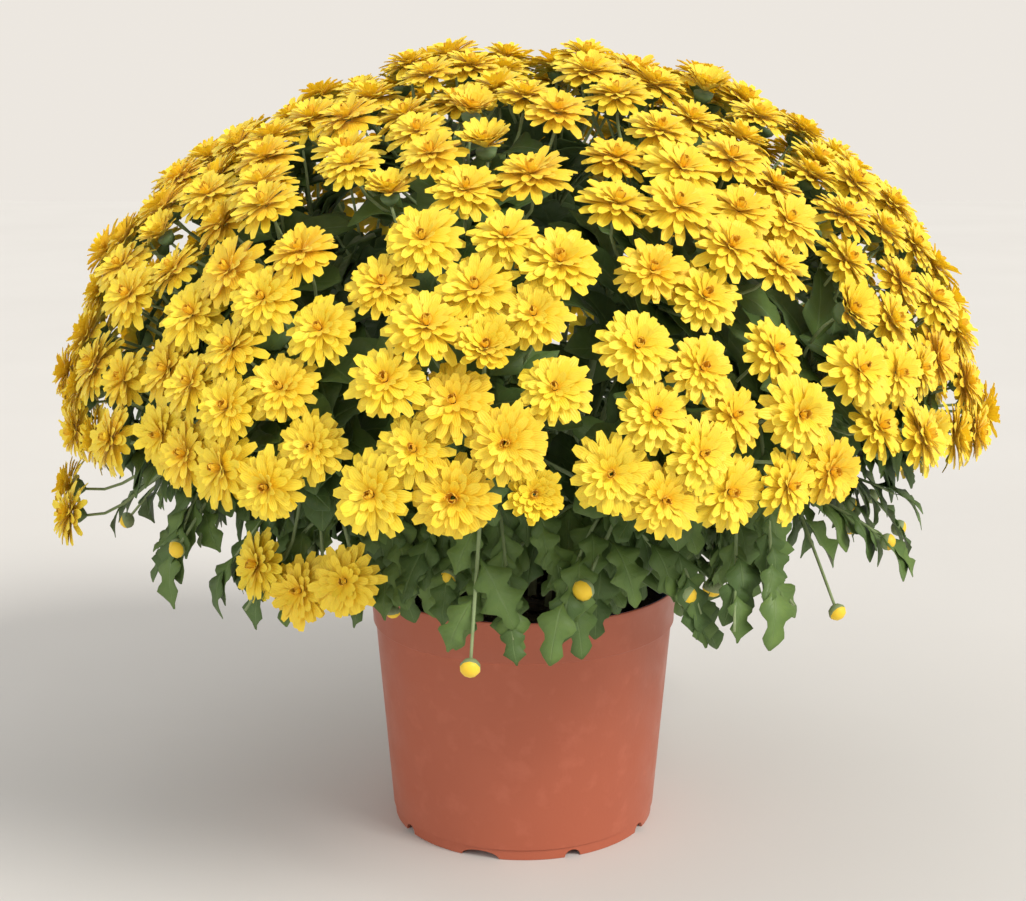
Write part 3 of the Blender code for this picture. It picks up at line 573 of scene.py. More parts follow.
class Finish:
    """A material and the nodes that shade it, whose inputs are values or other nodes' outputs."""

    def __init__(self, name, roughness, group):
        self.material = bpy.data.materials.new(name)
        self.material.use_nodes = True
        self.tree = self.material.node_tree
        self.shader = self.tree.nodes["Principled BSDF"]
        self.group = group
        self.put("Roughness", roughness)

    def put(self, name, value):
        """Fills in one of the shader's own inputs."""
        give(self.tree, self.shader.inputs[name], value)

    def node(self, kind, inputs, **settings):
        """A new node's outputs."""
        return add_node(self.tree, "ShaderNode" + kind, inputs, **settings).outputs

    def mottle(self, scale, low, high, detail=4.0):
        """Soft blotches over the surface, between two values."""
        inputs = {"Scale": scale, "Detail": detail, "Low": low, "High": high}
        return self.node("Group", inputs, node_tree=self.group)["Value"]

    def blend(self, share, first, second):
        """A mix of two colours."""
        return self.node("Mix", {0: share, 6: first, 7: second}, data_type="RGBA")[2]

    def compute(self, operation, *values):
        """One sum."""
        return self.node("Math", dict(enumerate(values)), operation=operation)[0]

    def ramp(self, value, *stops):
        """A smooth run of grey values: stops are (place, value)."""
        node = add_node(self.tree, "ShaderNodeValToRGB", {"Fac": value})
        elements = node.color_ramp.elements
        while len(elements) < len(stops):
            elements.new(0.5)
        for element, (place, level) in zip(elements, stops):
            element.position = place
            element.color = (level, level, level, 1.0)
        return node.outputs["Color"]

    def bump(self, height, strength, distance):
        """Relief from a height."""
        inputs = {"Strength": strength, "Distance": distance, "Height": height}
        self.put("Normal", self.node("Bump", inputs)["Normal"])

    def read(self, name):
        """A piece's own attribute as three outputs and an alpha."""
        attribute = self.node("Attribute", {}, attribute_name=name)
        parts = self.node("SeparateColor", {"Color": attribute["Color"]})
        return parts[0], parts[1], parts[2], attribute["Alpha"]


def petal_finish(name, group):
    """Bright yellow petals with fine ribs along them: deeper gold in the heart, and deeper gold at the foot
    as painted shade where the petals crease.
    """
    finish = Finish(name, 0.55, group)
    along, heart, tone, across = finish.read("petal_shade")
    # Painted shade: a deeper gold towards each petal's foot, where the petals crease and overlap.
    painted_crease_shade = finish.ramp(along, (0.0, 0.70), (0.20, 0.20), (0.50, 0.0))
    colour = finish.blend(painted_crease_shade, (1.0, 0.745, 0.030), (0.95, 0.55, 0.012))
    colour = finish.blend(finish.ramp(heart, (0.80, 0.0), (1.0, 0.70)), colour, (0.84, 0.40, 0.012))
    colour = finish.blend(finish.ramp(tone, (0.55, 0.0), (1.0, 0.45)), colour, (0.99, 0.60, 0.016))
    colour = finish.blend(finish.mottle(90.0, 0.0, 0.35), colour, (1.0, 0.80, 0.085))
    finish.put("Base Color", colour)
    finish.bump(finish.compute("SINE", finish.compute("MULTIPLY", across, 26.0)), 0.25, 0.0003)
    finish.put("Subsurface Weight", 0.10)
    finish.put("Subsurface Radius", (0.004, 0.0025, 0.0004))
    finish.put("Sheen Weight", 0.08)
    return finish.material


def leaf_finish(group):
    """Dull green leaves with pale veins above and a greyer underside."""
    finish = Finish("leaf_green", 0.58, group)
    across, along, tone, under = finish.read("leaf_shade")
    colour = finish.blend(tone, (0.052, 0.104, 0.020), (0.160, 0.255, 0.052))
    colour = finish.blend(finish.mottle(120.0, 0.0, 0.5), colour, (0.084, 0.160, 0.038))
    slanted = finish.compute("SUBTRACT", along, finish.compute("MULTIPLY", across, 0.22))
    side_veins = finish.compute("ABSOLUTE", finish.compute("SINE", finish.compute("MULTIPLY", slanted, 22.0)))
    side_veins = finish.compute("MULTIPLY", finish.ramp(side_veins, (0.0, 1.0), (0.16, 0.0)), 0.45)
    veins = finish.compute("MAXIMUM", side_veins, finish.ramp(across, (0.0, 1.0), (0.09, 0.0)))
    colour = finish.blend(finish.compute("MULTIPLY", veins, 0.6), colour, (0.17, 0.25, 0.085))
    colour = finish.blend(finish.compute("MULTIPLY", under, 0.6), colour, (0.13, 0.20, 0.095))
    finish.put("Base Color", colour)
    finish.put("Roughness", finish.mottle(200.0, 0.46, 0.70))
    finish.bump(finish.compute("MULTIPLY", veins, -1.0), 0.5, 0.0006)
    return finish.material


def stem_finish(group):
    """Pale grey-green stems and stalks, browner low down."""
    finish = Finish("stem_green", 0.62, group)
    height = finish.node("SeparateXYZ", {"Vector": finish.node("TexCoord", {})["Object"]})["Z"]
    colour = finish.blend(finish.mottle(150.0, 0.0, 0.8), (0.25, 0.34, 0.14), (0.34, 0.42, 0.21))
    colour = finish.blend(finish.ramp(height, (0.15, 0.75), (0.22, 0.0)), colour, (0.15, 0.11, 0.055))
    finish.put("Base Color", colour)
    finish.bump(finish.mottle(900.0, 0.0, 1.0), 0.3, 0.0003)
    return finish.material


def pot_finish(name, colour, deeper, group):
    """Moulded satin plastic with faint flow marks, scuffs and dust."""
    finish = Finish(name, POT_ROUGHNESS, group)
    shade = finish.blend(finish.mottle(9.0, 0.0, 0.55, 6.0), colour, deeper)
    scuffs = finish.ramp(finish.mottle(70.0, 0.0, 1.0, 8.0), (0.62, 0.0), (1.0, 0.22))
    paler = tuple(min(1.0, c * 1.25 + 0.03) for c in colour)
    finish.put("Base Color", finish.blend(scuffs, shade, paler))
    finish.put("Roughness", finish.mottle(40.0, POT_ROUGHNESS - 0.08, POT_ROUGHNESS + 0.1, 6.0))
    finish.bump(finish.mottle(600.0, 0.0, 1.0, 3.0), 0.12, 0.0002)
    return finish.material


def soil_finish(group):
    """Dark moist potting mix with lighter bark and fibre."""
    finish = Finish("potting_mix", 0.92, group)
    grains = finish.mottle(260.0, 0.0, 1.0, 8.0)
    colour = finish.blend(grains, (0.018, 0.011, 0.007), (0.085, 0.050, 0.028))
    chips = finish.ramp(finish.mottle(90.0, 0.0, 1.0, 2.0), (0.75, 0.0), (0.95, 0.6))
    finish.put("Base Color", finish.blend(chips, colour, (0.16, 0.105, 0.06)))
    finish.bump(finish.mottle(700.0, 0.0, 1.0, 8.0), 0.8, 0.0015)
    return finish.material


def floor_finish(group):
    """A plain pale floor."""
    finish = Finish("pale_floor", 0.75, group)
    colour = finish.blend(finish.mottle(2.0, 0.0, 1.0), (0.70, 0.68, 0.65), (0.73, 0.71, 0.68))
    finish.put("Base Color", colour)
    return finish.material


def mesh_from(bm, name, finishes=()):
    """Turns a bmesh into a smooth-shaded mesh with its finishes."""
    mesh = bpy.data.meshes.new(name)
    bm.to_mesh(mesh)
    bm.free()
    for finish in finishes:
        mesh.materials.append(finish)
    mesh.polygons.foreach_set("use_smooth", [True] * len(mesh.polygons))
    mesh.update()
    return mesh


def new_object(name, data):
    """A mesh, lamp or camera in the scene, at the origin."""
    item = bpy.data.objects.new(name, data)
    bpy.context.scene.collection.objects.link(item)
    return item


def settle_piece(name, mesh, nodes):
    """Puts a finished piece in the plant in place of its solids."""
    piece = new_object(name, mesh)
    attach(piece, "root")
    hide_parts(*nodes)


def take_in(bm, mesh, placing=Matrix.Identity(4)):
    """Adds a copy of a mesh to a bmesh at a place, and gives its vertices."""
    before = len(bm.verts)
    bm.from_mesh(mesh)
    bm.verts.ensure_lookup_table()
    fresh = bm.verts[before:]
    bmesh.ops.transform(bm, matrix=placing, verts=fresh)
    return fresh


def facing(place, direction, scale=1.0, turn=0.0, side=None):
    """A matrix that stands a shape's +Z along a direction at a place."""
    first, second = square_across(direction, side or across_of(direction))
    basis = Matrix((first, second, direction)).transposed().to_4x4()
    return Matrix.Translation(place) @ basis @ Matrix.Rotation(turn, 4, "Z") @ Matrix.Scale(scale, 4)


def across_of(direction):
    """Any steady vector that isn't along the direction."""
    return Vector((0.3, 0.2, 1.0)) if abs(direction.z) < 0.9 else Vector((1.0, 0.2, 0.1))


def add_rod(bm, radii, depth, sides, placing=Matrix.Identity(4)):
    """Adds a closed round rod, upright before it is placed, with the radii of its foot and top."""
    low, high = radii
    bmesh.ops.create_cone(
        bm, cap_ends=True, segments=sides, radius1=low, radius2=high, depth=depth, matrix=placing
    )


def upright_edges(bm):
    """The edges that run from a rod's foot to its top."""
    return [edge for edge in bm.edges if abs(edge.verts[0].co.z - edge.verts[1].co.z) > 0.5]


def shape_petal(length, half_width, foot_rise, tip_rise, channel, rings, heart):
    """One petal along +X from its foot: a thin closed blade, channelled, with a rounded tip."""
    bm = bmesh.new()
    add_rod(bm, (1, 1), 1, 4)
    bmesh.ops.subdivide_edges(bm, edges=upright_edges(bm), cuts=rings)
    shade = bm.verts.layers.float_color.new("petal_shade")
    turn = tip_rise - foot_rise or 0.001
    for vert in bm.verts:
        along = 1 - (0.5 - vert.co.z) ** 1.5
        across, over = vert.co.x, vert.co.y
        half = half_width * math.sin(math.pi * (0.12 + 0.52 * along)) * (1 - 0.42 * along**12)
        angle = foot_rise + turn * along
        ahead = length * (math.sin(angle) - math.sin(foot_rise)) / turn
        risen = length * (math.cos(foot_rise) - math.cos(angle)) / turn
        lift = abs(across) * channel * half + over * PETAL_THICKNESS / 2
        vert.co = (ahead - lift * math.sin(angle), across * half, risen + lift * math.cos(angle))
        vert[shade] = (along, heart, 0.5, across / 2 + 0.5)
    return bm


def shape_bloom(draw, closing):
    """A double bloom of unit radius that faces +Z, with layers of strap petals round a small heart."""
    bm = bmesh.new()
    for depth, layer in enumerate(PETAL_LAYERS):
        count, length, half_width, out, height, foot_rise, tip_rise, channel, rings = layer
        heart = depth / (len(PETAL_LAYERS) - 1)
        first = draw.uniform(0, math.tau)
        for k in range(count):
            lift = draw.uniform(-9, 9) + closing * (1 - heart)
            petal = shape_petal(
                length * draw.uniform(0.84, 1.07),
                half_width * draw.uniform(0.88, 1.10),
                math.radians(foot_rise + lift),
                math.radians(tip_rise + lift * 1.4 + draw.uniform(-8, 8)),
                channel,
                rings,
                heart,
            )
            bmesh.ops.recalc_face_normals(petal, faces=petal.faces)
            angle = first + (k + draw.uniform(-0.14, 0.14)) * math.tau / count
            tilt = Matrix.Rotation(math.radians(draw.uniform(-10, 10)), 4, "X")
            placing = Matrix.Rotation(angle, 4, "Z") @ Matrix.Translation((out, 0, height)) @ tilt
            mesh = mesh_from(petal, "petal")
            take_in(bm, mesh, placing)
            bpy.data.meshes.remove(mesh)
    return mesh_from(bm, "bloom_form")


def make_cluster(name, members, blooms, open_forms, closing_forms, finish, draw):
    """One yellow piece: the blooms of a cluster, each a turned and sized copy of a form."""
    bm = bmesh.new()
    for i in members:
        bloom = blooms[i]
        forms = closing_forms if bloom["closing"] else open_forms
        size = bloom["radius"] * VISIBLE_BLOOM_SHARE * (CLOSING_SHARE if bloom["closing"] else 1.0)
        placing = facing(bloom["centre"], bloom["normal"], size, draw.uniform(0, math.tau))
        fresh = take_in(bm, draw.choice(forms), placing)
        shade = bm.verts.layers.float_color["petal_shade"]
        for vert in fresh:
            vert[shade][2] = bloom["tone"]
    mesh = mesh_from(bm, name, [finish])
    mesh.set_sharp_from_angle(angle=PETAL_EDGE)
    settle_piece(f"{name}_petals", mesh, [name])


def extrude_on(bm, face):
    """Extrudes a face and gives the new one at its end."""
    grown = bmesh.ops.extrude_face_region(bm, geom=[face])["geom"]
    return next(item for item in grown if isinstance(item, bmesh.types.BMFace))


def add_stalk(bm, points, radii, sides=STALK_SIDES):
    """Adds a closed stalk through points: each ring is drawn out of the one before it."""
    stalk = bmesh.new()
    steady = across_of((points[-1] - points[0]).normalized())
    rings = []
    for k, (point, radius) in enumerate(zip(points, radii)):
        ahead = points[min(k + 1, len(points) - 1)] - points[max(k - 1, 0)]
        rings.append(facing(point, ahead.normalized(), 1.0, 0.0, steady) @ Matrix.Scale(radius, 4))
    bmesh.ops.create_circle(stalk, cap_ends=True, segments=sides, radius=1, matrix=rings[0])
    face = stalk.faces[:][0]
    for before, after in zip(rings, rings[1:]):
        face = extrude_on(stalk, face)
        bmesh.ops.transform(stalk, matrix=after @ before.inverted(), verts=face.verts)
    bmesh.ops.recalc_face_normals(stalk, faces=stalk.faces)
    for face in stalk.faces:
        face.material_index = 1
    mesh = mesh_from(stalk, "stalk")
    take_in(bm, mesh)
    bpy.data.meshes.remove(mesh)


def flat_leaf(columns, rows, lobes, depth):
    """A flat leaf of unit length along +Y with a short stalk, cut lobes and toothed edges."""
    bm = bmesh.new()
    bmesh.ops.create_grid(bm, x_segments=columns, y_segments=rows, size=1)
    shade = bm.verts.layers.float_color.new("leaf_shade")
    for vert in bm.verts:
        along = (vert.co.y + 1) / 2
        across = vert.co.x
        edge = abs(across)
        blade = max(0.0, (along - 0.13) / 0.87)
        whole = math.sin(math.pi * blade**0.72) ** 0.75 if 0 < blade < 1 else 0.0
        lobe = 0.5 - 0.5 * math.cos(math.tau * (lobes * blade + 0.12))
        tooth = 0.5 - 0.5 * math.cos(math.tau * lobes * 3 * blade)
        cut = 1 - depth * edge**2 * (1 - lobe) - 0.10 * edge**4 * tooth
        half = 0.018 + LEAF_WIDTH_SHARE / 2 * whole * cut
        forward = 0.10 * edge**2 * whole
        vert[shade] = (edge, along, 0.5, 0.0)
        vert.co = (across * half, along + forward * (1 - along), 0.0)
    return bm


def shape_leaf(columns, rows, lobes, depth, thickness):
    """The flat leaf with a thickness: a closed blade whose underside is marked."""
    bm = flat_leaf(columns, rows, lobes, depth)
    bmesh.ops.recalc_face_normals(bm, faces=bm.faces)
    top = set(bm.verts)
    bmesh.ops.solidify(bm, geom=bm.faces[:], thickness=thickness)
    shade = bm.verts.layers.float_color["leaf_shade"]
    lowest = min(vert.co.z for vert in bm.verts)
    for vert in bm.verts:
        if vert not in top and vert.co.z < lowest / 2:
            vert[shade] = (vert[shade][0], vert[shade][1], 0.5, 1.0)
    bmesh.ops.recalc_face_normals(bm, faces=bm.faces)
    return mesh_from(bm, "leaf_form")


def add_leaf(bm, forms, leaf, tones, draw):
    """Adds one leaf that arches from its base and hangs towards its tip, with wavy edges."""
    base, way, up, length, droop, size = leaf
    form = draw.choice(forms[size])
    tone = draw.uniform(*tones)
    side = way.cross(up).normalized()
    up = side.cross(way).normalized()
    fold = draw.uniform(0.10, 0.45)
    phase = draw.uniform(0, math.tau)
    bend = draw.uniform(-0.25, 0.25)
    fresh = take_in(bm, form)
    shade = bm.verts.layers.float_color["leaf_shade"]
    for vert in fresh:
        x, y, z = vert.co
        arch = 0.25 - (y - 0.3) ** 2 * 1.2 - 0.142 * max(0.0, 1 - y / 0.13)
        waves = 0.035 * math.sin(9 * y + phase) * min(abs(x) * 4, 1)
        lift = droop * arch + fold * abs(x) + waves + z
        swing = bend * y * y * 0.4
        vert.co = base + (side * (x + swing) + way * y + up * lift) * length
        vert[shade][2] = tone


def shape_calyx():
    """The green cup under a bloom, of unit height, with its mouth up."""
    bm = bmesh.new()
    add_rod(bm, (0.22, 0.95), 1, 8)
    bmesh.ops.subdivide_edges(bm, edges=upright_edges(bm), cuts=1)
    for vert in bm.verts:
        swell = 1.35 if abs(vert.co.z) < 0.1 else 1.0
        vert.co = (vert.co.x * swell, vert.co.y * swell, vert.co.z + 0.5)
    return mesh_from(bm, "calyx_form")


def shape_bud():
    """A round bud of unit radius: green scales below and a yellow cap above."""
    bm = bmesh.new()
    bmesh.ops.create_uvsphere(bm, u_segments=10, v_segments=7, radius=1)
    for vert in bm.verts:
        crease = 1 + 0.05 * math.cos(5 * math.atan2(vert.co.y, vert.co.x)) * (1 - abs(vert.co.z))
        vert.co = (vert.co.x * crease, vert.co.y * crease, vert.co.z * 0.86)
    for face in bm.faces:
        face.material_index = 2 if face.calc_center_median().z > 0.25 else 1
    return mesh_from(bm, "bud_form")


def stalk_points(base, first_way, end, last_way, steps):
    """Points of a stalk that leaves its base one way and meets its bloom from below."""
    reach = (end - base).length
    control = [base, base + first_way * reach * 0.30, end - last_way * reach * 0.28, end]
    return [smooth_path(control, k / steps) for k in range(steps + 1)]


def tapered(first, last, count):
    """Radii that run evenly from the first to the last."""
    return [first + (last - first) * k / (count - 1) for k in range(count)]


def clear_of_pot(point):
    """Whether a point of a leaf is clear of the pot and of the mix, and above the skirt's lower edge."""
    reach = math.hypot(point.x, point.y)
    if reach < POT_RIM_RADIUS + 0.002:
        return point.z > POT_HEIGHT + 0.001 or (reach < POT_RIM_RADIUS - 0.006 and point.z > SOIL_TOP + 0.004)
    return point.z > SKIRT_LOWEST + (reach - POT_RIM_RADIUS) * SKIRT_SLOPE


def scatter_leaves(shoot, blooms, draw):
    """The leaves that only the looks have: small ones under the blooms, hanging ones round the pot."""
    leaves = []
    axis = (shoot["top"] - shoot["hub"]).normalized()
    carried = shoot["blooms"] + [shoot["root"]]
    for _ in range(UNDER_LEAVES * 3):
        if len(leaves) == UNDER_LEAVES:
            break
        place = shoot["hub"].lerp(stalk_end(blooms[draw.choice(carried)]), draw.uniform(0.05, 0.72))
        way = turned_across(axis, shoot["side"], draw.uniform(0, math.tau))
        way = (way + axis * draw.uniform(0.1, 0.9)).normalized()
        length = draw.uniform(*UNDER_LEAF_LENGTHS)
        if depth_in_dome(place + way * length) > UNDER_LEAF_DEPTH:
            leaves.append((place, way, axis, length, draw.uniform(0.1, 0.6), "small"))
    for k in range(INNER_LEAVES):
        way = turned_across(axis, shoot["side"], k * GOLDEN_ANGLE + draw.uniform(-0.3, 0.3))
        way = (way + axis * draw.uniform(0.1, 0.5)).normalized()
        place = leaf_root(shoot, draw.uniform(*INNER_LEAF_SHARES))
        length = draw.uniform(*INNER_LEAF_LENGTHS)
        leaves.append((place, way, axis, length, draw.uniform(*LEAF_DROOPS), "small"))
    if shoot["polar"] < SKIRT_ANGLE:
        return leaves
    up = leaf_up(shoot["outward"], HANGING_LEAN)
    hanging = 0
    for _ in range(HANGING_LEAVES * 12):
        if hanging == HANGING_LEAVES:
            break
        share = draw.uniform(0.05, 1.7)
        place = along_stem(shoot, min(share, 1.0))
        if share > 1:
            place = shoot["hub"].lerp(stalk_end(blooms[draw.choice(carried)]), share - 1)
        way = about_z(draw.uniform(-1.25, 1.25)) @ shoot["outward"]
        way = (way - UP * draw.uniform(0.1, 1.4)).normalized()
        length = draw.uniform(*HANGING_LEAF_LENGTHS)
        points = [place + way * length * s - up * length * s * s * 0.1 for s in (0.5, 0.75, 1.0)]
        hidden = all(p.z < LOWEST_BLOOM_Z or depth_in_dome(p) > HANGING_LEAF_DEPTH for p in points)
        if hidden and all(clear_of_pot(p) for p in points):
            leaves.append((place, way, up, length, draw.uniform(*LEAF_DROOPS), "large"))
            hanging += 1
    return leaves


def add_bud(bm, form, tip, way, radius):
    """Adds a bud at the end of its stalk, turned up a little."""
    way = (way + UP * 0.5).normalized()
    take_in(bm, form, facing(tip, way, radius))


def plan_branches(shoot, blooms, draw):
    """Pale side branches of an outer shoot: their points, and the leaves that hang along them."""
    if shoot["polar"] < SKIRT_ANGLE:
        return []
    branches = []
    for k in range(SKIRT_BRANCHES):
        start = along_stem(shoot, draw.uniform(0.45, 0.95))
        fan = BRANCH_FAN * (k / (SKIRT_BRANCHES - 1) - 0.5)
        outward = about_z(fan + draw.uniform(-0.08, 0.08)) @ shoot["outward"]
        reach = draw.uniform(*BRANCH_REACHES)
        end = outward * reach
        end += UP * (draw.uniform(*BRANCH_HEIGHTS) + (reach - BRANCH_REACHES[0]) * BRANCH_SLOPE)
        rise = UP * draw.uniform(0.010, 0.030)
        control = [start, start.lerp(end, 0.35) + rise, start.lerp(end, 0.75) + rise, end]
        up = leaf_up(outward, HANGING_LEAN)
        leaves = []
        for step in range(BRANCH_LEAVES):
            share = 0.28 + 0.72 * step / (BRANCH_LEAVES - 1)
            place = smooth_path(control, share)
            hand = 1 if step % 2 else -1
            way = about_z(hand * draw.uniform(0.3, 1.2) * (1.15 - share)) @ (end - start).normalized()
            way = (way - UP * draw.uniform(0.3, 1.5)).normalized()
            length = draw.uniform(*BRANCH_LEAF_LENGTHS)
            tip = place + way * length - UP * 0.006
            reachable = all((bloom["centre"] - tip).length > BRANCH_LEAF_ROOM for bloom in blooms)
            if reachable and clear_of_pot(tip) and clear_of_pot(place):
                leaves.append((place, way, up, length, draw.uniform(*LEAF_DROOPS), "middle"))
        branches.append(([smooth_path(control, step / 8) for step in range(9)], leaves))
    return branches


def make_greens(name, shoot, blooms, forms, finishes, draw):
    """One green piece: a shoot's stem, stalks, calyxes, leaves and buds."""
    bm = bmesh.new()
    bm.verts.layers.float_color.new("leaf_shade")
    hub = shoot["hub"]
    axis = (shoot["top"] - hub).normalized()
    climb = [shoot["foot"] - UP * (HOLE_DEPTH - CLEARANCE), shoot["foot"]]
    climb += [smooth_path(shoot["curve"], share) for share in (0.18, 0.35, 0.52, 0.70, 0.86)]
    climb += [hub - axis * 0.004, hub]
    way = (hub - climb[-3]).normalized()
    climb += stalk_points(hub, way, shoot["top"], blooms[shoot["root"]]["normal"], 5)[1:]
    radii = STEM_RADII + tapered(MIDDLE_STALK_RADIUS, STALK_RADII[1], len(climb) - len(STEM_RADII))
    add_stalk(bm, climb, radii, MAIN_STEM_SIDES)
    for i in shoot["blooms"]:
        end = stalk_end(blooms[i])
        base = hub - axis * draw.uniform(0.0, 0.004)
        way = (axis + (end - base).normalized()).normalized()
        add_stalk(bm, stalk_points(base, way, end, blooms[i]["normal"], 7), tapered(*STALK_RADII, 8))
    for i in shoot["blooms"] + [shoot["root"]]:
        normal = blooms[i]["normal"]
        low = stalk_end(blooms[i]) - normal * 0.0004
        depth = CALYX_DEPTH * blooms[i]["radius"] * 0.82
        take_in(bm, forms["calyx"], facing(low, normal, depth))
    for base, tip, radius in shoot["buds"]:
        points = [base.lerp(tip, k / 8) + UP * (BUD_ARCH * math.sin(math.pi * k / 8)) for k in range(9)]
        add_stalk(bm, points, tapered(*BUD_STALK_RADII, 9))
        add_bud(bm, forms["bud"], tip, (tip - base).normalized(), radius)
    for points, leaves in plan_branches(shoot, blooms, draw):
        add_stalk(bm, points, tapered(*BRANCH_RADII, len(points)))
        if draw.random() < BRANCH_BUD_SHARE:
            way = (points[-1] - points[-2]).normalized()
            add_bud(bm, forms["bud"], points[-1], way, draw.uniform(*BRANCH_BUD_RADII))
        for leaf in leaves:
            add_leaf(bm, forms, leaf, (0.1, 1.0), draw)
    for leaf in shoot["leaves"]:
        add_leaf(bm, forms, leaf, (0.2, 1.0), draw)
    for leaf in scatter_leaves(shoot, blooms, draw):
        add_leaf(bm, forms, leaf, (0.0, 0.8), draw)
    settle_piece(f"{name}_greens", mesh_from(bm, name, finishes), [name])


def pot_profile():
    """Reach and height round half the pot's cut: up its inside, over the lip, down and under the floor."""
    top = POT_HEIGHT
    rim = POT_RIM_RADIUS
    band = BAND_FOOT_RADIUS
    band_z = POT_HEIGHT - BAND_HEIGHT
    floor_z = FLOOR_HEIGHT + POT_WALL
    foot_inside = FOOT_RADIUS - FOOT_THICKNESS
    return [
        (0.0, floor_z),
        (body_radius(floor_z) - POT_WALL - 0.003, floor_z),
        (body_radius(floor_z) - POT_WALL, floor_z + 0.003),
        (body_radius(band_z) - POT_WALL, band_z),
        (band - POT_WALL, band_z + POT_WALL),
        (rim - POT_WALL, top - 0.0006),
        (rim - POT_WALL * 0.72, top),
        (rim - POT_WALL * 0.28, top),
        (rim, top - 0.0006),
        (rim - 0.0002, top - 0.0032),
        (rim - 0.0009, top - 0.0042),
        (band + 0.0004, band_z + 0.004),
        (band + 0.0003, band_z + 0.0008),
        (band - 0.0003, band_z),
        (body_radius(band_z) + 0.0003, band_z - 0.0002),
        (body_radius(band_z), band_z - 0.0010),
        (body_radius(0.085), 0.085),
        (body_radius(0.030), 0.030),
        (BODY_FOOT_RADIUS, FOOT_HEIGHT),
        (BODY_FOOT_RADIUS - 0.0012, FOOT_HEIGHT - 0.0004),
        (FOOT_RADIUS - 0.0004, 0.0004),
        (FOOT_RADIUS - 0.0009, 0.0),
        (foot_inside + 0.0004, 0.0),
        (foot_inside, 0.0006),
        (FOOT_TOP_RADIUS - FOOT_THICKNESS, FLOOR_HEIGHT),
        (0.0, FLOOR_HEIGHT),
    ]


def pot_cutters():
    """The shapes of the foot's notches and the floor's drain holes."""
    bm = bmesh.new()
    for index in range(NOTCH_COUNT):
        width = NOTCH_WIDTH if index else WIDE_NOTCH_WIDTH
        arch = Matrix.Translation((FOOT_RADIUS - FOOT_THICKNESS, 0, 0)) @ Matrix.Rotation(math.pi / 2, 4, "Y")
        turn = Matrix.Rotation(WIDE_NOTCH_ANGLE + index * math.tau / NOTCH_COUNT, 4, "Z")
        bite = Matrix.Diagonal((NOTCH_HEIGHT, width / 2, 1, 1))
        add_rod(bm, (1, 1), 0.02, 32, turn @ arch @ bite)
    for index in range(DRAIN_COUNT):
        angle = index * math.tau / DRAIN_COUNT
        place = Vector((math.cos(angle), math.sin(angle), 0)) * DRAIN_RING_RADIUS + UP * FLOOR_HEIGHT
        add_rod(bm, (DRAIN_RADIUS, DRAIN_RADIUS), 4 * POT_WALL, 24, Matrix.Translation(place))
    return bm


def make_pot(outside, inside):
    """The growing pot: turned wall with a rim band and lip, floor, and a notched foot ring."""
    floor_z = FLOOR_HEIGHT + POT_WALL
    bm = bmesh.new()
    verts = [bm.verts.new((radius, 0.0, height)) for radius, height in pot_profile()]
    edges = [bm.edges.new(pair) for pair in zip(verts, verts[1:])]
    bmesh.ops.spin(
        bm, geom=verts + edges, cent=(0, 0, 0), axis=(0, 0, 1), angle=math.tau, steps=128, use_merge=True
    )
    bmesh.ops.remove_doubles(bm, verts=bm.verts, dist=0.00002)
    bmesh.ops.recalc_face_normals(bm, faces=bm.faces)
    for face in bm.faces:
        middle = face.calc_center_median()
        within = face.normal.x * middle.x + face.normal.y * middle.y < 0 and middle.z > floor_z
        on_lip = middle.z > POT_HEIGHT - 0.0001
        on_floor = middle.z > floor_z - 0.0001 and math.hypot(middle.x, middle.y) < 0.08
        face.material_index = 1 if within or on_lip or on_floor else 0
    pot = new_object("pot_shell", mesh_from(bm, "pot_shell", [outside, inside]))
    tool = new_object("foot_cutter", mesh_from(pot_cutters(), "foot_cutter", [outside]))
    bite = pot.modifiers.new("Notches", "BOOLEAN")
    bite.operation = "DIFFERENCE"
    bite.object = tool
    bite.solver = "EXACT"
    depsgraph = bpy.context.evaluated_depsgraph_get()
    cut_mesh = bpy.data.meshes.new_from_object(pot.evaluated_get(depsgraph))
    bpy.data.objects.remove(tool)
    bpy.data.objects.remove(pot)
    cut_mesh.set_sharp_from_angle(angle=POT_EDGE)
    settle_piece("pot_shell", cut_mesh, ["pot"])


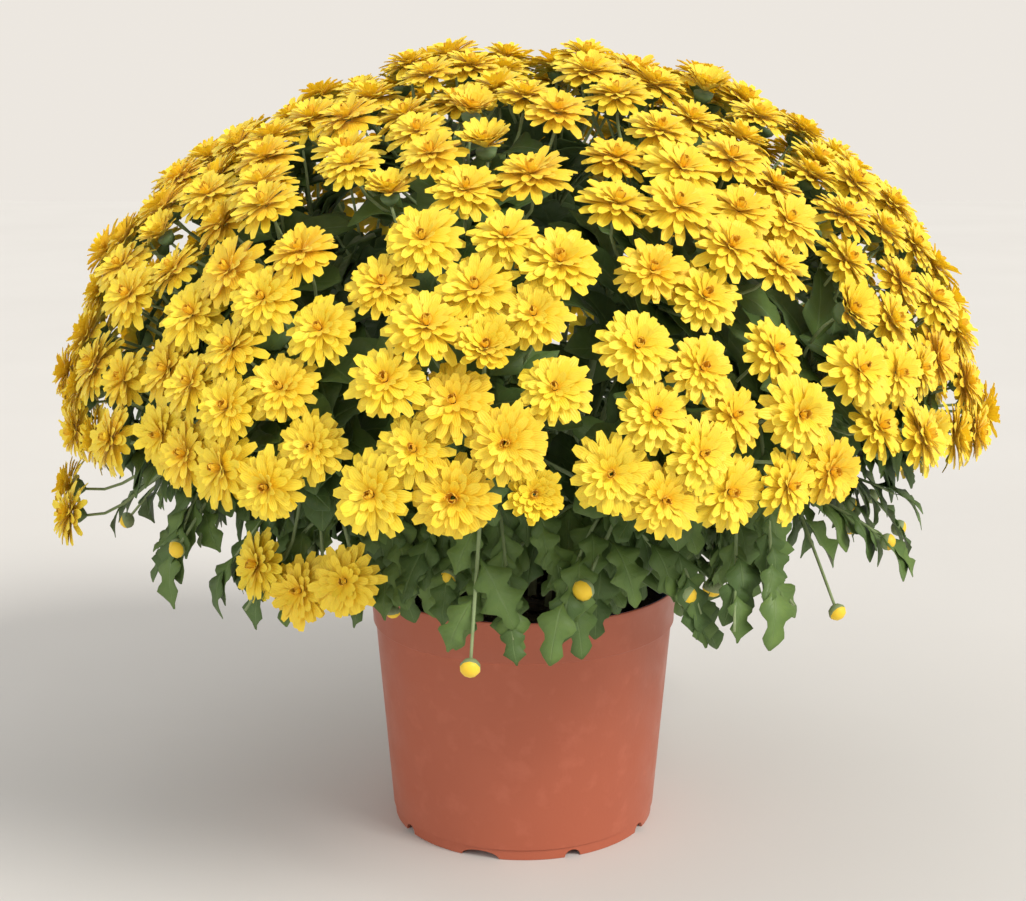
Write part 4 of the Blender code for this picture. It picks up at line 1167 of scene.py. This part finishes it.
def make_soil(finish, draw):
    """The potting mix: a settled, crumbly surface with loose crumbs, down to the pot's floor."""
    bottom = FLOOR_HEIGHT + POT_WALL + 0.0003
    band_z = POT_HEIGHT - BAND_HEIGHT
    bm = bmesh.new()
    bmesh.ops.create_circle(bm, cap_ends=False, segments=96, radius=body_radius(bottom) - POT_WALL - 0.0035)
    bmesh.ops.translate(bm, vec=(0, 0, bottom), verts=bm.verts)
    bmesh.ops.contextual_create(bm, geom=bm.edges[:])
    face = bm.faces[:][0]
    edge_radius = body_radius(band_z) - POT_WALL - 0.0006
    rings = [(edge_radius, SOIL_TOP - 0.004)]
    rings += [((edge_radius - 0.004) * (1 - 0.045 * k), SOIL_TOP) for k in range(SOIL_RINGS)]
    for radius, height in rings:
        face = extrude_on(bm, face)
        now = face.verts[0].co
        share = radius / math.hypot(now.x, now.y)
        bmesh.ops.scale(bm, vec=(share, share, 1), verts=face.verts)
        bmesh.ops.translate(bm, vec=(0, 0, height - now.z), verts=face.verts)
    bmesh.ops.recalc_face_normals(bm, faces=bm.faces)
    for vert in bm.verts:
        if vert.co.z > SOIL_TOP - 0.001:
            lumps = noise.fractal(vert.co * 90, 0.8, 2.1, 4)
            vert.co.z += -0.0012 + 0.0022 * lumps
    crumb = bmesh.new()
    bmesh.ops.create_icosphere(crumb, subdivisions=1, radius=1)
    crumb_form = mesh_from(crumb, "crumb_form")
    for _ in range(CRUMB_COUNT):
        angle = draw.uniform(0, math.tau)
        reach = math.sqrt(draw.random()) * (edge_radius - 0.006)
        size = Matrix.Diagonal((draw.uniform(0.6, 1.8), draw.uniform(0.6, 1.6), draw.uniform(0.4, 0.9), 1))
        turn = Matrix.Rotation(draw.uniform(0, math.tau), 4, "Z")
        place = Matrix.Translation((reach * math.cos(angle), reach * math.sin(angle), SOIL_TOP - 0.0006))
        take_in(bm, crumb_form, place @ turn @ size @ Matrix.Scale(draw.uniform(*CRUMB_RADII), 4))
    mesh = mesh_from(bm, "potting_mix", [finish])
    settle_piece("potting_mix_surface", mesh, ["potting_mix"])


def make_stage(finish):
    """The pale floor."""
    bm = bmesh.new()
    bmesh.ops.create_grid(bm, x_segments=1, y_segments=1, size=6)
    new_object("floor", mesh_from(bm, "floor", [finish]))


def add_sun(name, place, spread, strength, colour):
    """Broad soft light from the direction of a place, the same all over the floor."""
    lamp = bpy.data.lights.new(name, "SUN")
    lamp.angle = math.radians(spread)
    lamp.energy = strength
    lamp.color = colour
    holder = new_object(name, lamp)
    holder.location = place
    holder.rotation_euler = (-Vector(place)).to_track_quat("-Z", "Y").to_euler()


def light_and_camera():
    """Soft studio light from the upper right, and the camera at the photograph's angle."""
    scene = bpy.context.scene
    world = bpy.data.worlds.new("studio")
    world.use_nodes = True
    tree = world.node_tree
    light = tree.nodes["Background"]
    give(tree, light.inputs["Color"], SKY_TONE)
    give(tree, light.inputs["Strength"], SKY_STRENGTH)
    seen = add_node(tree, "ShaderNodeBackground", {"Color": FAR_FLOOR_TONE})
    rays = add_node(tree, "ShaderNodeLightPath", {})
    inputs = {0: rays.outputs["Is Camera Ray"], 1: light.outputs[0], 2: seen.outputs[0]}
    either = add_node(tree, "ShaderNodeMixShader", inputs)
    give(tree, tree.nodes["World Output"].inputs["Surface"], either.outputs[0])
    scene.world = world
    scene.view_settings.view_transform = "Standard"
    add_sun("key", (1.8, -1.4, 1.9), 20, 2.20, (1.0, 0.97, 0.92))
    add_sun("fill", (-1.6, -1.6, 1.0), 60, 0.38, (0.97, 0.98, 1.0))
    camera = bpy.data.cameras.new("camera")
    camera.lens = CAMERA_LENS
    camera.sensor_width = 36
    holder = new_object("camera", camera)
    holder.location = CAMERA_PLACE
    holder.rotation_euler = (math.pi / 2 - CAMERA_PITCH, 0, 0)
    scene.camera = holder


def main():
    draw = random.Random(SEED)
    blooms, anchors = plan_blooms(draw)
    shoots = plan_shoots(blooms, anchors)
    plan_leaves(shoots, blooms, draw)
    plan_buds(shoots, blooms, draw)
    draw = random.Random(SEED + 1)
    for bloom in blooms:
        bloom["tone"] = draw.random() ** 1.6
        bloom["closing"] = draw.random() < CLOSING_CHANCE

    group = mottle_group()
    petals = petal_finish("petal_yellow", group)
    greens = [leaf_finish(group), stem_finish(group), petal_finish("bud_yellow", group)]
    open_forms = [shape_bloom(draw, 0) for _ in range(OPEN_BLOOMS)]
    closing_forms = [shape_bloom(draw, CLOSING_LIFT) for _ in range(CLOSING_BLOOMS)]
    for cluster in sorted({bloom["cluster"] for bloom in blooms}):
        members = [i for i, bloom in enumerate(blooms) if bloom["cluster"] == cluster]
        stray = cluster - SHOOT_COUNT + 1
        name = f"stray_blooms_{stray}" if stray > 0 else f"blooms_{cluster + 1:02d}"
        make_cluster(name, members, blooms, open_forms, closing_forms, petals, draw)

    forms = {
        "large": [shape_leaf(2, 15, 2.5, 0.60, 0.010), shape_leaf(2, 15, 2, 0.55, 0.010)],
        "middle": [shape_leaf(2, 11, 2, 0.62, 0.012), shape_leaf(2, 11, 1.6, 0.58, 0.012)],
        "small": [shape_leaf(2, 8, 1.5, 0.35, 0.012)],
        "calyx": shape_calyx(),
        "bud": shape_bud(),
    }
    for index, shoot in enumerate(shoots):
        make_greens(f"shoot_{index + 1:02d}", shoot, blooms, forms, greens, draw)

    terracotta = pot_finish("terracotta_plastic", (0.47, 0.120, 0.060), (0.39, 0.090, 0.042), group)
    blue = pot_finish("blue_plastic", (0.055, 0.13, 0.36), (0.045, 0.10, 0.29), group)
    make_pot(terracotta, blue)
    make_soil(soil_finish(group), draw)
    make_stage(floor_finish(group))
    light_and_camera()


main()
